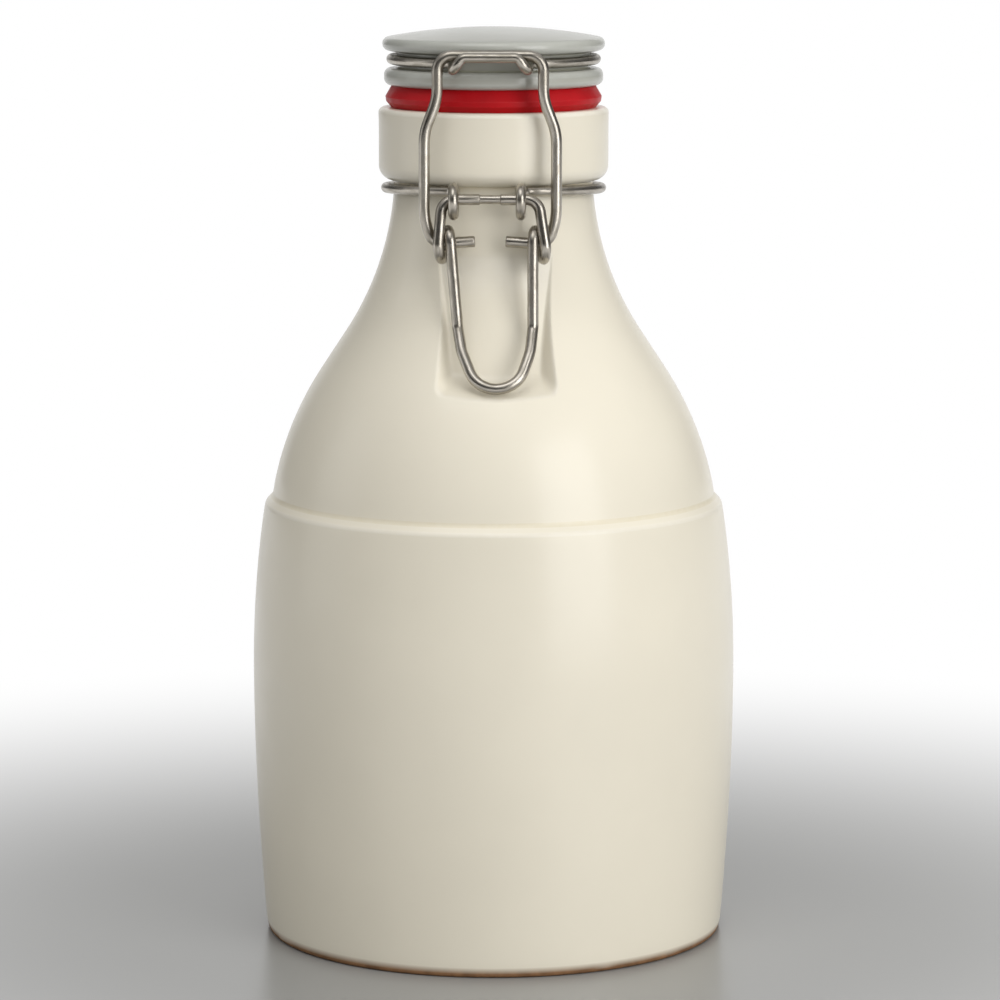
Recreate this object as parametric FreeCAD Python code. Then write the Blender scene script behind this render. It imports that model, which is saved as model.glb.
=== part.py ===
import FreeCAD, Part
import math
import os

# Ceramic growler with a wire swing-top closure, shut.
# Millimetres. Origin at the middle of the foot, on the table.
# +Z up, -Y is the front where the lever hangs, +X is to the right.

V = FreeCAD.Vector

# --- named clearances ---
wire_gap = 0.3
seat_gap = 0.3
groove_gap = 0.3
hook_gap = 0.45
place_tolerance = 0.05
leave_step_deg = 0.5
leave_spare = 0.2

# --- body, from the foot to the ledge ---
foot_radius = 65.55
foot_round = 1.2
foot_ring_width = 9.0
foot_recess = 1.2
belly_height = 78.0
belly_radius = 69.1
belly_curve_below = 840.0
belly_curve_above = 290.0
body_height = 124.0
ledge_rise = 2.2
ledge_in = 2.2
ledge_round = 2.6

# --- shoulder: convex arc, straight run, concave arc up the neck ---
shoulder_step = 5.7
shoulder_inset = 0.58
shoulder_start_deg = 11.65
shoulder_run = 12.7
shoulder_rise = 86.4
neck_curve = 85.0
neck_radius = 28.18
neck_lean_deg = 2.43

# --- collar ---
collar_radius = 32.6
collar_height = 20.5
collar_lower_round = 4.1
collar_upper_round = 1.5

shoulder_height = body_height + shoulder_step
collar_bottom = shoulder_height + shoulder_rise
collar_top = collar_bottom + collar_height

# --- thumb recess behind the lever: drops are below the collar ---
recess_half_width = 16.8
recess_wall_run = 3.8
recess_wall_depth = 5.0
recess_wall_slant = 1.6
recess_floor_drop = 53.8
recess_floor_depth = 6.3
recess_middle_drop = 35.1
recess_middle_depth = 2.0
recess_fade_drop = 19.6
recess_fade_out = 0.13
recess_lip_drop = 56.9
recess_lip_depth = 0.2
recess_round = 2.0
recess_turn_deg = 1.1
recess_tool_reach = 25.0
recess_tool_above = 6.25
recess_tool_past = 12.5
recess_lip_tolerance = 0.01
recess_far = belly_radius * 1.5

# --- lid ---
lid_upper_step = 1.1
lid_lower_step = 1.6
lid_groove_depth = 3.8
lid_boss_step = 5.2
lid_lower_flange = 4.8
lid_groove = 4.9
lid_upper_flange = 3.9
lid_edge_round = 1.85
lid_rim_width = 2.4
lid_dome = 2.6
lid_inner_round = 0.6
lid_boss_round = 0.3
lid_upper_radius = collar_radius - lid_upper_step
lid_lower_radius = collar_radius - lid_lower_step
lid_groove_radius = lid_lower_radius - lid_groove_depth
lid_boss_radius = lid_groove_radius - lid_boss_step

# --- gasket, squeezed between collar and lid ---
gasket_height = 6.3
gasket_top_inset = 2.2
gasket_lip_inset = 0.3
gasket_lip_height = 3.1
gasket_band_inset = 0.5
gasket_band_height = 1.7
gasket_foot_inset = 2.0
gasket_edge = 0.3
gasket_hole_gap = 0.5
gasket_top = collar_top + gasket_height

# --- closure wires ---
ring_wire = 2.8
lever_wire = 3.1
ring_r = ring_wire / 2
lever_r = lever_wire / 2
clamp_turn_deg = -1.5
ring_steps = 5
ring_share = 0.98
turn_share = 0.95

# neck wire: ring under the collar, two eyes in front, hinge bar behind
neck_ring_play = 0.92
neck_ring_drop = 2.35
neck_ring_tilt_deg = 2.3
eye_radius = 3.85
eye_reach = 3.8
eye_drop = 3.3
eye_half_spacing = 9.3
eye_offset = 0.8
eye_first_deg = 80.0
eye_last_deg = 350.0
eye_steps = 8
eye_bend = 3.0
neck_ring_radius = neck_radius + neck_ring_play + ring_r
neck_ring_height = collar_bottom - neck_ring_drop
eye_front = collar_radius + eye_reach
eye_height = collar_bottom - eye_drop

# lever: drops are below the coils
bar_rise = 0.5
coil_radius = 3.9
coil_back = 1.2
coil_drop = 12.1
coil_half_spacing = 13.15
coil_shift = 3.9
coil_first_deg = 169.0
coil_last_deg = 529.0
coil_steps = 9
lever_shoulder = 13.3
lever_bend = 4.0
kink_half_width = 10.4
kink_drop = 22.5
kink_gap = 2.0
kink_bend = 4.0
waist_half_width = 9.5
waist_drop = 28.7
waist_bend = 14.0
tip_drop = 52.3
tip_overhang = 7.3
tip_bend = 7.8
handle_lean = 2.8
pin_length = 5.6
pin_diameter = 2.5
coil_front = eye_front - coil_back
coil_height = eye_height - coil_drop

# bail
bail_gap = 0.85
bail_rise = 2.55
bail_half_width = 14.65
bail_corner = 4.2
jog_above = 4.2
jog_below = 5.0
jog_bend = 16.0
bail_lower_half_width = 18.25
bail_taper_rise = 6.8
bail_taper_bend = 20.0
bail_foot_half_width = 15.9
bail_foot_bend = 4.3
stub_lift = 0.1
stub_end_half_width = 4.25
stub_end_rise = 0.8
groove_middle = gasket_top + lid_lower_flange + lid_groove / 2
bail_front = lid_upper_radius + bail_gap + lever_r
bail_height = groove_middle + bail_rise

# lid wire: ring in the lid groove, hook in front, hinge legs behind
hook_half_width = 10.4
hook_bar_half_width = 7.6
hook_bar_drop = 0.4
hook_bar_bend = 1.9
hook_bend = 2.4
hook_valley_drop = 4.2
hook_ring_bend = 3.0
hinge_gap = 1.0
hinge_half_width = 5.0
hinge_bend = 3.0
hinge_bar_half_width = 9.6
hinge_bar_bend = 2.6
hinge_wrap_deg = 270.0
hinge_wrap_steps = 6
hinge_leg_back = collar_radius + hinge_gap + ring_r
hinge_bar_back = hinge_leg_back + ring_wire + wire_gap


def line(a, b):
    return Part.LineSegment(a, b).toShape()


def arc(a, m, b):
    return Part.Arc(a, m, b).toShape()


def point(radius, height):
    return V(radius, 0, height)


def revolved(edges):
    """Solid of revolution about Z from a closed outline in the XZ plane."""
    face = Part.Face(Part.Wire(Part.__sortEdges__(edges)))
    return face.revolve(V(0, 0, 0), V(0, 0, 1), 360)


def outline(corners):
    """Closed straight outline through (radius, height) corners."""
    pts = [point(r, h) for r, h in corners]
    loop = pts + [pts[0]]
    return [line(loop[i], loop[i + 1]) for i in range(len(pts))]


def ring_edges(shape, radius, height):
    """Circular edges of a revolved solid at one radius and height."""
    found = []
    for edge in shape.Edges:
        box = edge.BoundBox
        level = abs(box.ZMin - height) < place_tolerance
        flat = box.ZLength < place_tolerance and level
        out = abs(box.XMax - radius) < place_tolerance
        wide = out and abs(box.XMin + radius) < place_tolerance
        if flat and wide:
            found.append(edge)
    return found


def rounded(shape, size, places):
    edges = []
    for radius, height in places:
        edges += ring_edges(shape, radius, height)
    return shape.makeFillet(size, edges)


def turned(shape, degrees):
    copy = shape.copy()
    copy.rotate(V(0, 0, 0), V(0, 0, 1), degrees)
    return copy


def barrel_radius(height):
    """Radius of the body wall, an arc below the belly and one above."""
    rise = height - belly_height
    curve = belly_curve_above if rise > 0 else belly_curve_below
    return belly_radius - (curve - math.sqrt(curve * curve - rise * rise))


def along(degrees):
    angle = math.radians(degrees)
    return V(math.cos(angle), 0, math.sin(angle))


def shoulder_arcs():
    """Shoulder that leaves the ledge and meets the neck without a corner.

    Gives its start, the outward curve's centre and radius, the direction
    square to the straight run, and the centre of the neck's inward curve.
    """
    inset = ledge_in + shoulder_inset
    start = point(barrel_radius(body_height) - inset, shoulder_height)
    lean = along(shoulder_start_deg)
    neck_centre = point(neck_radius, collar_bottom) + along(neck_lean_deg) * neck_curve
    reach = neck_centre - start
    spare = neck_curve ** 2 + shoulder_run ** 2 - reach.Length ** 2
    curve = spare / (2 * (reach.dot(lean) - neck_curve))
    centre = start - lean * curve
    between = neck_centre - centre
    rise = math.atan2(between.z, between.x)
    slope = rise - math.acos((curve + neck_curve) / between.Length)
    return start, centre, curve, along(math.degrees(slope)), neck_centre


def shoulder_points():
    """Ends and middles of the shoulder arcs, from the ledge to the neck."""
    start, centre, curve, out, neck_centre = shoulder_arcs()
    first_out = (along(shoulder_start_deg) + out).normalize()
    last_out = along(neck_lean_deg)
    mid_out = (last_out + out).normalize()
    return [
        start,
        centre + first_out * curve,
        centre + out * curve,
        neck_centre - out * neck_curve,
        neck_centre - mid_out * neck_curve,
        neck_centre - last_out * neck_curve,
    ]


def shoulder_radius_at(height):
    centre, curve, out, neck_centre = shoulder_arcs()[1:]
    crest = centre + out * curve
    run_end = neck_centre - out * neck_curve
    if height < crest.z:
        return centre.x + math.sqrt(curve ** 2 - (height - centre.z) ** 2)
    if height < run_end.z:
        return crest.x - (height - crest.z) * out.z / out.x
    return neck_centre.x - math.sqrt(neck_curve ** 2 - (neck_centre.z - height) ** 2)


def bottle_blank():
    inner_foot = foot_radius - foot_ring_width
    mid_low = belly_height / 2
    mid_high = (belly_height + body_height) / 2
    ledge_r = barrel_radius(body_height)
    s = shoulder_points()
    edges = [
        line(point(0, foot_recess), point(inner_foot - foot_recess, foot_recess)),
        line(point(inner_foot - foot_recess, foot_recess), point(inner_foot, 0)),
        line(point(inner_foot, 0), point(foot_radius, 0)),
        arc(
            point(foot_radius, 0),
            point(barrel_radius(mid_low), mid_low),
            point(belly_radius, belly_height),
        ),
        arc(
            point(belly_radius, belly_height),
            point(barrel_radius(mid_high), mid_high),
            point(ledge_r, body_height),
        ),
        line(
            point(ledge_r, body_height),
            point(ledge_r - ledge_in, body_height + ledge_rise),
        ),
        line(point(ledge_r - ledge_in, body_height + ledge_rise), s[0]),
        arc(s[0], s[1], s[2]),
        line(s[2], s[3]),
        arc(s[3], s[4], s[5]),
        line(s[5], point(collar_radius, collar_bottom)),
        line(point(collar_radius, collar_bottom), point(collar_radius, collar_top)),
        line(point(collar_radius, collar_top), point(0, collar_top)),
        line(point(0, collar_top), point(0, foot_recess)),
    ]
    blank = revolved(edges)
    ledge_edges = [
        (ledge_r, body_height),
        (ledge_r - ledge_in, body_height + ledge_rise),
    ]
    blank = rounded(blank, foot_round, [(foot_radius, 0)])
    blank = rounded(blank, ledge_round, ledge_edges)
    blank = rounded(blank, collar_lower_round, [(collar_radius, collar_bottom)])
    return rounded(blank, collar_upper_round, [(collar_radius, collar_top)])


def recess_place(drop, depth):
    """Point of the recess, so far below the collar and under the shoulder."""
    height = collar_bottom - drop
    return point(shoulder_radius_at(height) - depth, height)


def recess_floor():
    """Foot, middle and top of the recess floor's arc."""
    return [
        recess_place(recess_floor_drop, recess_floor_depth),
        recess_place(recess_middle_drop, recess_middle_depth),
        recess_place(recess_fade_drop, -recess_fade_out),
    ]


def recess_shell():
    """Everything outside the recess floor, turned about the bottle's axis."""
    foot, middle, fade = recess_floor()
    far = recess_far
    above = recess_tool_above
    low = foot - V(0, 0, recess_tool_reach)
    high = fade + V(above / 3, 0, above)
    edges = [
        line(low, foot),
        arc(foot, middle, fade),
        line(fade, high),
        line(high, point(far, high.z)),
        line(point(far, high.z), point(far, low.z)),
        line(point(far, low.z), low),
    ]
    return revolved(edges)


def recess_walls():
    """Slanting block whose sloping sides keep the rim width even."""
    foot, middle, fade = recess_floor()
    lip = recess_place(recess_lip_drop, recess_lip_depth)
    far = recess_far
    flare = recess_wall_run / recess_wall_depth
    rim_y = -math.sqrt(lip.x ** 2 - recess_half_width ** 2)
    deep_y = -fade.x / 2
    run = (foot.x - fade.x) * recess_wall_slant
    rise = fade.z - foot.z
    back = recess_tool_reach / rise * run
    deep_half = recess_half_width - flare * (deep_y - rim_y)
    far_half = recess_half_width + flare * (rim_y + far)
    base = lip.z - recess_tool_reach
    corners = [
        V(-far_half, -far - back, base),
        V(far_half, -far - back, base),
        V(deep_half, deep_y - back, base),
        V(-deep_half, deep_y - back, base),
    ]
    loop = corners + [corners[0]]
    rim = Part.Wire([line(loop[i], loop[i + 1]) for i in range(4)])
    reach = (rise + recess_tool_reach + recess_tool_past) / rise
    return Part.Face(rim).extrude(V(0, run, rise) * reach)


def recess_tool():
    """Scoop with a floor that follows the shoulder and sloping walls."""
    foot, middle, fade = recess_floor()
    lip = recess_place(recess_lip_drop, recess_lip_depth)
    far = recess_far
    below_lip = Part.makeBox(2 * far, 3 * far, far)
    below_lip.translate(V(-far, -1.5 * far, -far))
    tilt = math.degrees(math.atan2(foot.z - lip.z, lip.x - foot.x))
    below_lip.rotate(V(0, 0, 0), V(1, 0, 0), tilt)
    below_lip.translate(V(0, -foot.x, foot.z))
    tool = recess_shell().common(recess_walls()).cut(below_lip)
    inner = []
    for edge in tool.Edges:
        box = edge.BoundBox
        near = box.YMax > -lip.x
        below_fade = box.ZMax < fade.z + recess_lip_tolerance
        if near and below_fade and box.ZMin < fade.z - 1:
            inner.append(edge)
    return tool.makeFillet(recess_round, inner)


def bottle():
    return turned(bottle_blank().cut(recess_tool()), recess_turn_deg)


def gasket():
    z0 = collar_top
    hole = lid_boss_radius + gasket_hole_gap
    band = lid_lower_radius - gasket_band_inset
    lip = lid_lower_radius - gasket_lip_inset
    body = revolved(
        outline(
            [
                (hole, z0),
                (lid_lower_radius - gasket_foot_inset, z0),
                (band, z0 + gasket_band_height),
                (lip, z0 + gasket_lip_height),
                (lid_lower_radius - gasket_top_inset, gasket_top),
                (hole, gasket_top),
            ]
        )
    )
    edges = [(band, z0 + gasket_band_height), (lip, z0 + gasket_lip_height)]
    return rounded(body, gasket_edge, edges)


def lid():
    base = collar_top + seat_gap
    seat = gasket_top
    lower = seat + lid_lower_flange
    upper = lower + lid_groove
    top = upper + lid_upper_flange
    dome_r = lid_upper_radius - lid_rim_width
    lean = 2 * math.atan(lid_dome / dome_r)
    rim_top = top - lid_rim_width * math.tan(lean)
    curve = (dome_r ** 2 + lid_dome ** 2) / (2 * lid_dome)
    half_way = lid_dome - curve + math.sqrt(curve ** 2 - dome_r ** 2 / 4)
    corners = [
        point(0, base),
        point(lid_boss_radius, base),
        point(lid_boss_radius, seat),
        point(lid_lower_radius, seat),
        point(lid_lower_radius, lower),
        point(lid_groove_radius, lower),
        point(lid_groove_radius, upper),
        point(lid_upper_radius, upper),
        point(lid_upper_radius, rim_top),
        point(dome_r, top),
    ]
    rims = [lid_edge_round, lid_edge_round]
    bends = [lid_boss_round] * 2 + rims + [lid_inner_round] * 2 + rims
    edges = path_edges(corners, bends)
    crown = point(0, top + lid_dome)
    edges.append(arc(point(dome_r, top), point(dome_r / 2, top + half_way), crown))
    edges.append(line(crown, corners[0]))
    return revolved(edges)


def path_edges(points, bends):
    """Straight runs joined by tangent arcs, one bend radius per inner corner."""
    edges = []
    here = points[0]
    for i in range(1, len(points) - 1):
        corner = points[i]
        back = (points[i - 1] - corner).normalize()
        ahead = (points[i + 1] - corner).normalize()
        half = back.getAngle(ahead) / 2
        reach = bends[i - 1] / math.tan(half)
        middle = (back + ahead).normalize()
        first = corner + back * reach
        last = corner + ahead * reach
        depth = bends[i - 1] / math.sin(half) - bends[i - 1]
        edges.append(line(here, first))
        edges.append(arc(first, corner + middle * depth, last))
        here = last
    edges.append(line(here, points[-1]))
    return edges


def bent_wire(points, bends, radius):
    path = Part.Wire(path_edges(points, bends))
    start = (points[1] - points[0]).normalize()
    section = Part.Wire(Part.Circle(points[0], start, radius).toShape())
    return path.makePipeShell([section], True, False)


def coil(front, height, radius, first_deg, last_deg, steps, x_first, x_last):
    """Corners of a turn that runs over the top, down the front and under."""
    step = (last_deg - first_deg) / steps
    reach = radius / math.cos(math.radians(step / 2))
    corners = []
    for k in range(steps):
        angle = math.radians(first_deg + step * (k + 0.5))
        x = x_first + (x_last - x_first) * (k + 0.5) / steps
        corners.append(
            V(x, reach * math.cos(angle) - front, reach * math.sin(angle) + height)
        )
    return corners


def on_turn(front, height, radius, angle_deg, x):
    angle = math.radians(angle_deg)
    return V(x, radius * math.cos(angle) - front, radius * math.sin(angle) + height)


def mirrored(points):
    return [V(-p.x, p.y, p.z) for p in points]


def joined(left, right, bends):
    """Left and right halves, each from its free end, as one route."""
    return left + mirrored(right)[::-1], bends + bends[::-1]


def ring_corners(radius, first_deg, last_deg, steps):
    """Corners round a ring, angle from the front (-Y) towards the left (-X)."""
    step = (last_deg - first_deg) / steps
    reach = radius / math.cos(math.radians(step / 2))
    corners = []
    for k in range(steps):
        angle = math.radians(first_deg + step * (k + 0.5))
        corners.append(V(-reach * math.sin(angle), -reach * math.cos(angle), 0))
    return corners


def turn_off(radius, angle_deg, x):
    """Where a ring's tangent reaches x; angle from the Y axis, front side."""
    angle = math.radians(angle_deg)
    run = (radius * math.sin(angle) - x) / math.cos(angle)
    return radius * math.cos(angle) + run * math.sin(angle)


def leave_angle(radius, x, bend):
    """Angle at which a ring wire must leave so its bend fits beside x."""
    angle = math.degrees(math.asin(x / radius))
    while True:
        rad = math.radians(angle)
        run = (radius * math.sin(rad) - x) / math.cos(rad)
        need = bend * math.tan(math.radians(90 - angle) / 2)
        if run > need + leave_spare:
            return angle
        angle += leave_step_deg


def neck_wire():
    tilt = math.tan(math.radians(neck_ring_tilt_deg))
    bar = hinge_bar_half_width
    rear = leave_angle(neck_ring_radius, bar, hinge_bar_bend)

    def level(x, y):
        return V(x, y, neck_ring_height - y * tilt)

    def side(x):
        """Left half with its eye at a distance x from the middle."""
        turn = (eye_front, eye_height, eye_radius)
        eye = coil(*turn, eye_first_deg, eye_last_deg, eye_steps, -x, -x)
        end = on_turn(*turn, eye_last_deg, -x)
        front = leave_angle(neck_ring_radius, x, eye_bend)
        ring = ring_corners(neck_ring_radius, front, 180 - rear, ring_steps)
        half = [end] + eye[::-1] + [level(-x, -turn_off(neck_ring_radius, front, x))]
        half += [level(p.x, p.y) for p in ring]
        half.append(level(-bar, turn_off(neck_ring_radius, rear, bar)))
        half.append(level(-bar, hinge_bar_back))
        return half

    left = side(eye_half_spacing + eye_offset)
    right = side(eye_half_spacing - eye_offset)
    bends = [eye_radius * turn_share] * eye_steps + [eye_bend]
    bends += [neck_ring_radius * ring_share] * ring_steps + [hinge_bar_bend] * 2
    points, radii = joined(left, right, bends)
    return bent_wire(points, radii, ring_r)


def lid_wire():
    z = groove_middle
    ring_radius = lid_groove_radius + groove_gap + ring_r
    tilt = math.tan(math.radians(neck_ring_tilt_deg))
    bar_z = neck_ring_height - hinge_bar_back * tilt
    loop = ring_wire + wire_gap
    x = hinge_half_width
    last = 90.0
    first = last - hinge_wrap_deg
    wrap = coil(-hinge_bar_back, bar_z, loop, first, last, hinge_wrap_steps, -x, -x)
    end = on_turn(-hinge_bar_back, bar_z, loop, last, -x)
    rear = leave_angle(ring_radius, x, hinge_bend)
    turn_rear = V(-x, turn_off(ring_radius, rear, x), z)
    front = leave_angle(ring_radius, hook_half_width, hook_ring_bend)
    turn_front = V(-hook_half_width, -turn_off(ring_radius, front, hook_half_width), z)
    ring = ring_corners(ring_radius, front, 180 - rear, ring_steps)
    bar_front = bail_front + lever_r + ring_r + hook_gap
    valley = V(-hook_half_width, -bar_front, bail_height - hook_valley_drop)
    corner = V(-hook_bar_half_width, -bar_front, bail_height - hook_bar_drop)
    half = [end] + wrap[::-1] + [V(-x, hinge_leg_back, z), turn_rear]
    half += [p + V(0, 0, z) for p in ring][::-1]
    half += [turn_front, valley, corner]
    bends = [loop * turn_share] * hinge_wrap_steps + [hinge_bend] * 2
    bends += [ring_radius * ring_share] * ring_steps
    bends += [hook_ring_bend, hook_bend, hook_bar_bend]
    points, radii = joined(half, half, bends)
    return bent_wire(points, radii, ring_r)


def kink_front_distance():
    """The handle's kinks lie just off the recess floor."""
    floor = arc(*recess_floor()).Curve
    drop = floor.Center.z - (coil_height - kink_drop)
    radius = floor.Center.x - math.sqrt(floor.Radius ** 2 - drop ** 2)
    return radius + kink_gap + lever_r


def lever():
    bar_z = eye_height + bar_rise
    tip_front = recess_place(recess_lip_drop, recess_lip_depth).x + tip_overhang
    kink_front = kink_front_distance()
    bar_end = V(-pin_length / 2, -eye_front, bar_z)
    shoulder = V(-lever_shoulder, -eye_front, bar_z)
    x_out = coil_half_spacing + coil_shift / 2
    x_in = coil_half_spacing - coil_shift / 2
    place = (coil_front, coil_height, coil_radius)
    turn = coil(*place, coil_first_deg, coil_last_deg, coil_steps, -x_out, -x_in)
    kink = V(-kink_half_width, -kink_front, coil_height - kink_drop)
    part = (waist_drop - kink_drop) / (tip_drop - kink_drop)
    waist_front = kink_front + (tip_front - kink_front) * part
    waist = V(-waist_half_width, -waist_front, coil_height - waist_drop)
    tip = V(0, -tip_front, coil_height - tip_drop)

    def leaned(p):
        drop = (bar_z - p.z) / (bar_z - tip.z)
        return V(p.x + handle_lean * max(drop, 0), p.y, p.z)

    half = [bar_end, shoulder] + turn + [kink, waist]
    down = [lever_bend] + [coil_radius * turn_share] * coil_steps
    down += [kink_bend, waist_bend]
    points = [leaned(p) for p in half + [tip] + mirrored(half)[::-1]]
    loop = bent_wire(points, down + [tip_bend] + down[::-1], lever_r)
    pin_overlap = 1.0
    pin_start = V(-pin_length / 2 - pin_overlap, -eye_front, bar_z)
    pin_reach = pin_length + 2 * pin_overlap
    pin = Part.makeCylinder(pin_diameter / 2, pin_reach, pin_start, V(1, 0, 0))
    return loop.fuse(pin).removeSplitter()


def bail():
    stub_z = coil_height + stub_lift
    drop = bail_height - stub_z

    def at(half_width, height):
        part = (bail_height - height) / drop
        front = bail_front + (coil_front - bail_front) * part
        return V(-half_width, -front, height)

    half = [
        V(-stub_end_half_width, -coil_front, stub_z + stub_end_rise),
        at(bail_foot_half_width, stub_z),
        at(bail_lower_half_width, coil_height + bail_taper_rise),
        at(bail_lower_half_width, collar_top - jog_below),
        at(bail_half_width, collar_top + jog_above),
        at(bail_half_width, bail_height),
    ]
    bends = [bail_foot_bend, bail_taper_bend, jog_bend, jog_bend, bail_corner]
    points, radii = joined(half, half, bends)
    return bent_wire(points, radii, lever_r)


def build():
    solids = {
        "bottle": bottle(),
        "gasket": gasket(),
        "lid": lid(),
        "neck_wire": turned(neck_wire(), clamp_turn_deg),
        "lid_wire": turned(lid_wire(), clamp_turn_deg),
        "lever": turned(lever(), clamp_turn_deg),
        "bail": turned(bail(), clamp_turn_deg),
    }
    os.makedirs("parts", exist_ok=True)
    for name, shape in solids.items():
        solid = shape.Solids[0]
        solid.exportStep("parts/" + name + ".step")


build()
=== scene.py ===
import math

import bpy
from mathutils import Matrix, Vector, noise


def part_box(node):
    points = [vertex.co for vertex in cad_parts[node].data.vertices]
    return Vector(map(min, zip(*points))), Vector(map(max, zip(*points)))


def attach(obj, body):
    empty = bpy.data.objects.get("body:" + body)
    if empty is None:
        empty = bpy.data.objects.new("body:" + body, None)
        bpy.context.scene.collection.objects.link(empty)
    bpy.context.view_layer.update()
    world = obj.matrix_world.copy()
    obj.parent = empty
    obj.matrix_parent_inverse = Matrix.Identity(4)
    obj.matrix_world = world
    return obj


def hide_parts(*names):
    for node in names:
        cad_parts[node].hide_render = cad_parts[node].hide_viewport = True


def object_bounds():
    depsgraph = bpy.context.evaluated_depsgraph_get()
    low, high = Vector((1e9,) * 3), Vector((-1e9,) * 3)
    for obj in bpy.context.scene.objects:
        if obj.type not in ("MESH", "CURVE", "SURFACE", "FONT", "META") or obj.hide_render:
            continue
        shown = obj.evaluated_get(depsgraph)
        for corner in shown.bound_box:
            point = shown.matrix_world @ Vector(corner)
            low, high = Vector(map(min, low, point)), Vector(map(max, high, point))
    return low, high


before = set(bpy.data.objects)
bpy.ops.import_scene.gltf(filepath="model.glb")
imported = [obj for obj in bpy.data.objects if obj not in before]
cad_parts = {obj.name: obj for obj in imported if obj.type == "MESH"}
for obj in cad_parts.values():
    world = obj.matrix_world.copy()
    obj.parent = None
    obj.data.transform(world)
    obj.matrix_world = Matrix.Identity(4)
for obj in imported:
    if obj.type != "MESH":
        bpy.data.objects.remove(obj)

bl_info = {
    "name": "Swing-top ceramic growler",
    "version": (1, 0, 0),
    "blender": (4, 5, 0),
    "location": "3D View > Sidebar > Growler",
    "description": "Glazed bottle with its lid, gasket and closure wires, built on the packed frame",
    "category": "Add Mesh",
}

CAD_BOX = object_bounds()
BOTTLE_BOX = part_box("bottle")
GASKET_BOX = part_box("gasket")
LID_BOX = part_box("lid")

MM = 0.001
FULL_TURN = 2 * math.pi
CREASE_ANGLE = math.radians(40)

# Rings, coils and eyes of wire are polygons with rounded corners: the corners along one
# side of a ring, and the bends as a share of the radius, which keeps them from touching.
RING_STEPS = 5
RING_SHARE = 0.98
TURN_SHARE = 0.95


# --- how a size, an angle and a colour are declared ---

def length(label, note, millimetres):
    return bpy.props.FloatProperty(
        name=label, description=note, default=millimetres * MM, unit="LENGTH", precision=5
    )


def angle(label, note, degrees):
    return bpy.props.FloatProperty(
        name=label, description=note, default=math.radians(degrees), unit="ROTATION"
    )


def amount(label, note, value):
    return bpy.props.FloatProperty(name=label, description=note, default=value, min=0.0)


def linear(level):
    """A screen level from 0 to 255 as light."""
    share = level / 255
    return share / 12.92 if share <= 0.04045 else ((share + 0.055) / 1.055) ** 2.4


def tint(label, note, red, green, blue):
    """A colour written in screen levels from 0 to 255."""
    return bpy.props.FloatVectorProperty(
        name=label,
        description=note,
        default=(linear(red), linear(green), linear(blue)),
        size=3,
        subtype="COLOR",
        min=0.0,
        max=1.0,
    )


# --- settings ---

class BottleSizes(bpy.types.PropertyGroup):
    foot_radius: length("Foot radius", "Outside of the foot ring", 65.55)
    foot_round: length("Foot round", "Rounding of the foot's outer edge", 1.2)
    foot_ring: length("Foot ring width", "Width of the ring the bottle stands on", 9.0)
    foot_recess: length("Foot recess", "How far the middle of the foot is raised", 1.2)
    belly_height: length("Belly height", "Height of the widest place", 78.0)
    curve_below: length("Curve below", "Radius of the wall's curve below the belly", 840.0)
    curve_above: length("Curve above", "Radius of the wall's curve above the belly", 290.0)
    ledge_height: length("Ledge height", "Top of the body, where the ledge turns in", 124.0)
    ledge_rise: length("Ledge rise", "Height of the slanting ledge", 2.2)
    ledge_in: length("Ledge depth", "How far the ledge steps in", 2.2)
    ledge_round: length("Ledge round", "Rounding of the ledge's edges", 2.6)
    shoulder_height: length("Shoulder height", "Where the shoulder's curve begins", 129.7)
    shoulder_radius: length("Shoulder radius", "Radius where the shoulder begins", 62.65)
    shoulder_start: angle("Shoulder start", "Lean of the shoulder where it begins", 11.65)
    shoulder_slope: angle("Shoulder slope", "Lean of the shoulder's straight run", 33.4)
    shoulder_curve: length("Shoulder curve", "Radius of the outward curve", 93.5)
    shoulder_run: length("Shoulder run", "Length of the straight run", 12.7)
    neck_curve: length("Neck curve", "Radius of the inward curve up the neck", 85.0)
    collar_bottom: length("Collar bottom", "Height of the collar's underside", 216.1)
    collar_radius: length("Collar radius", "Outside of the collar", 32.6)
    collar_lower_round: length("Collar lower round", "Rounding under the collar", 4.1)
    collar_upper_round: length("Collar upper round", "Rounding of the collar's rim", 1.5)
    glaze_wave: length("Glaze wave", "Depth of the slow unevenness of the wall", 0.16)
    wave_spacing: length("Wave spacing", "Distance between the slow swells", 38.0)
    bare_height: length("Bare edge", "Height of the unglazed line above the table", 1.15)
    glaze_thickness: length("Glaze thickness", "How far the glaze stands out above it", 0.25)


class RecessSizes(bpy.types.PropertyGroup):
    half_width: length("Half width", "Half the recess's width at its lower rim", 16.8)
    wall_run: length("Wall run", "How far a side wall leans outward", 3.8)
    wall_depth: length("Wall depth", "Depth over which it leans so far", 5.0)
    floor_radius: length("Floor radius", "Distance of the floor's foot from the axis", 42.84)
    floor_height: length("Floor height", "Height of the floor's foot", 162.3)
    middle_radius: length("Middle radius", "Distance of the floor's middle", 35.43)
    middle_height: length("Middle height", "Height of the floor's middle", 181.0)
    fade_radius: length("Fade radius", "Distance where the floor meets the neck", 31.46)
    fade_height: length("Fade height", "Height where the floor meets the neck", 196.5)
    lip_radius: length("Lip radius", "Distance of the lower rim from the axis", 50.9)
    lip_height: length("Lip height", "Height of the lower rim", 159.2)
    inner_round: length("Inner round", "Softness of the recess's inner corners", 2.3)
    lip_round: length("Lip round", "Softness where the floor meets the lower lip", 6.0)
    rim_round: length("Rim round", "Softness of the recess's rim", 1.5)
    turn: angle("Turn", "How far the recess is turned about the axis", 1.1)


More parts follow.
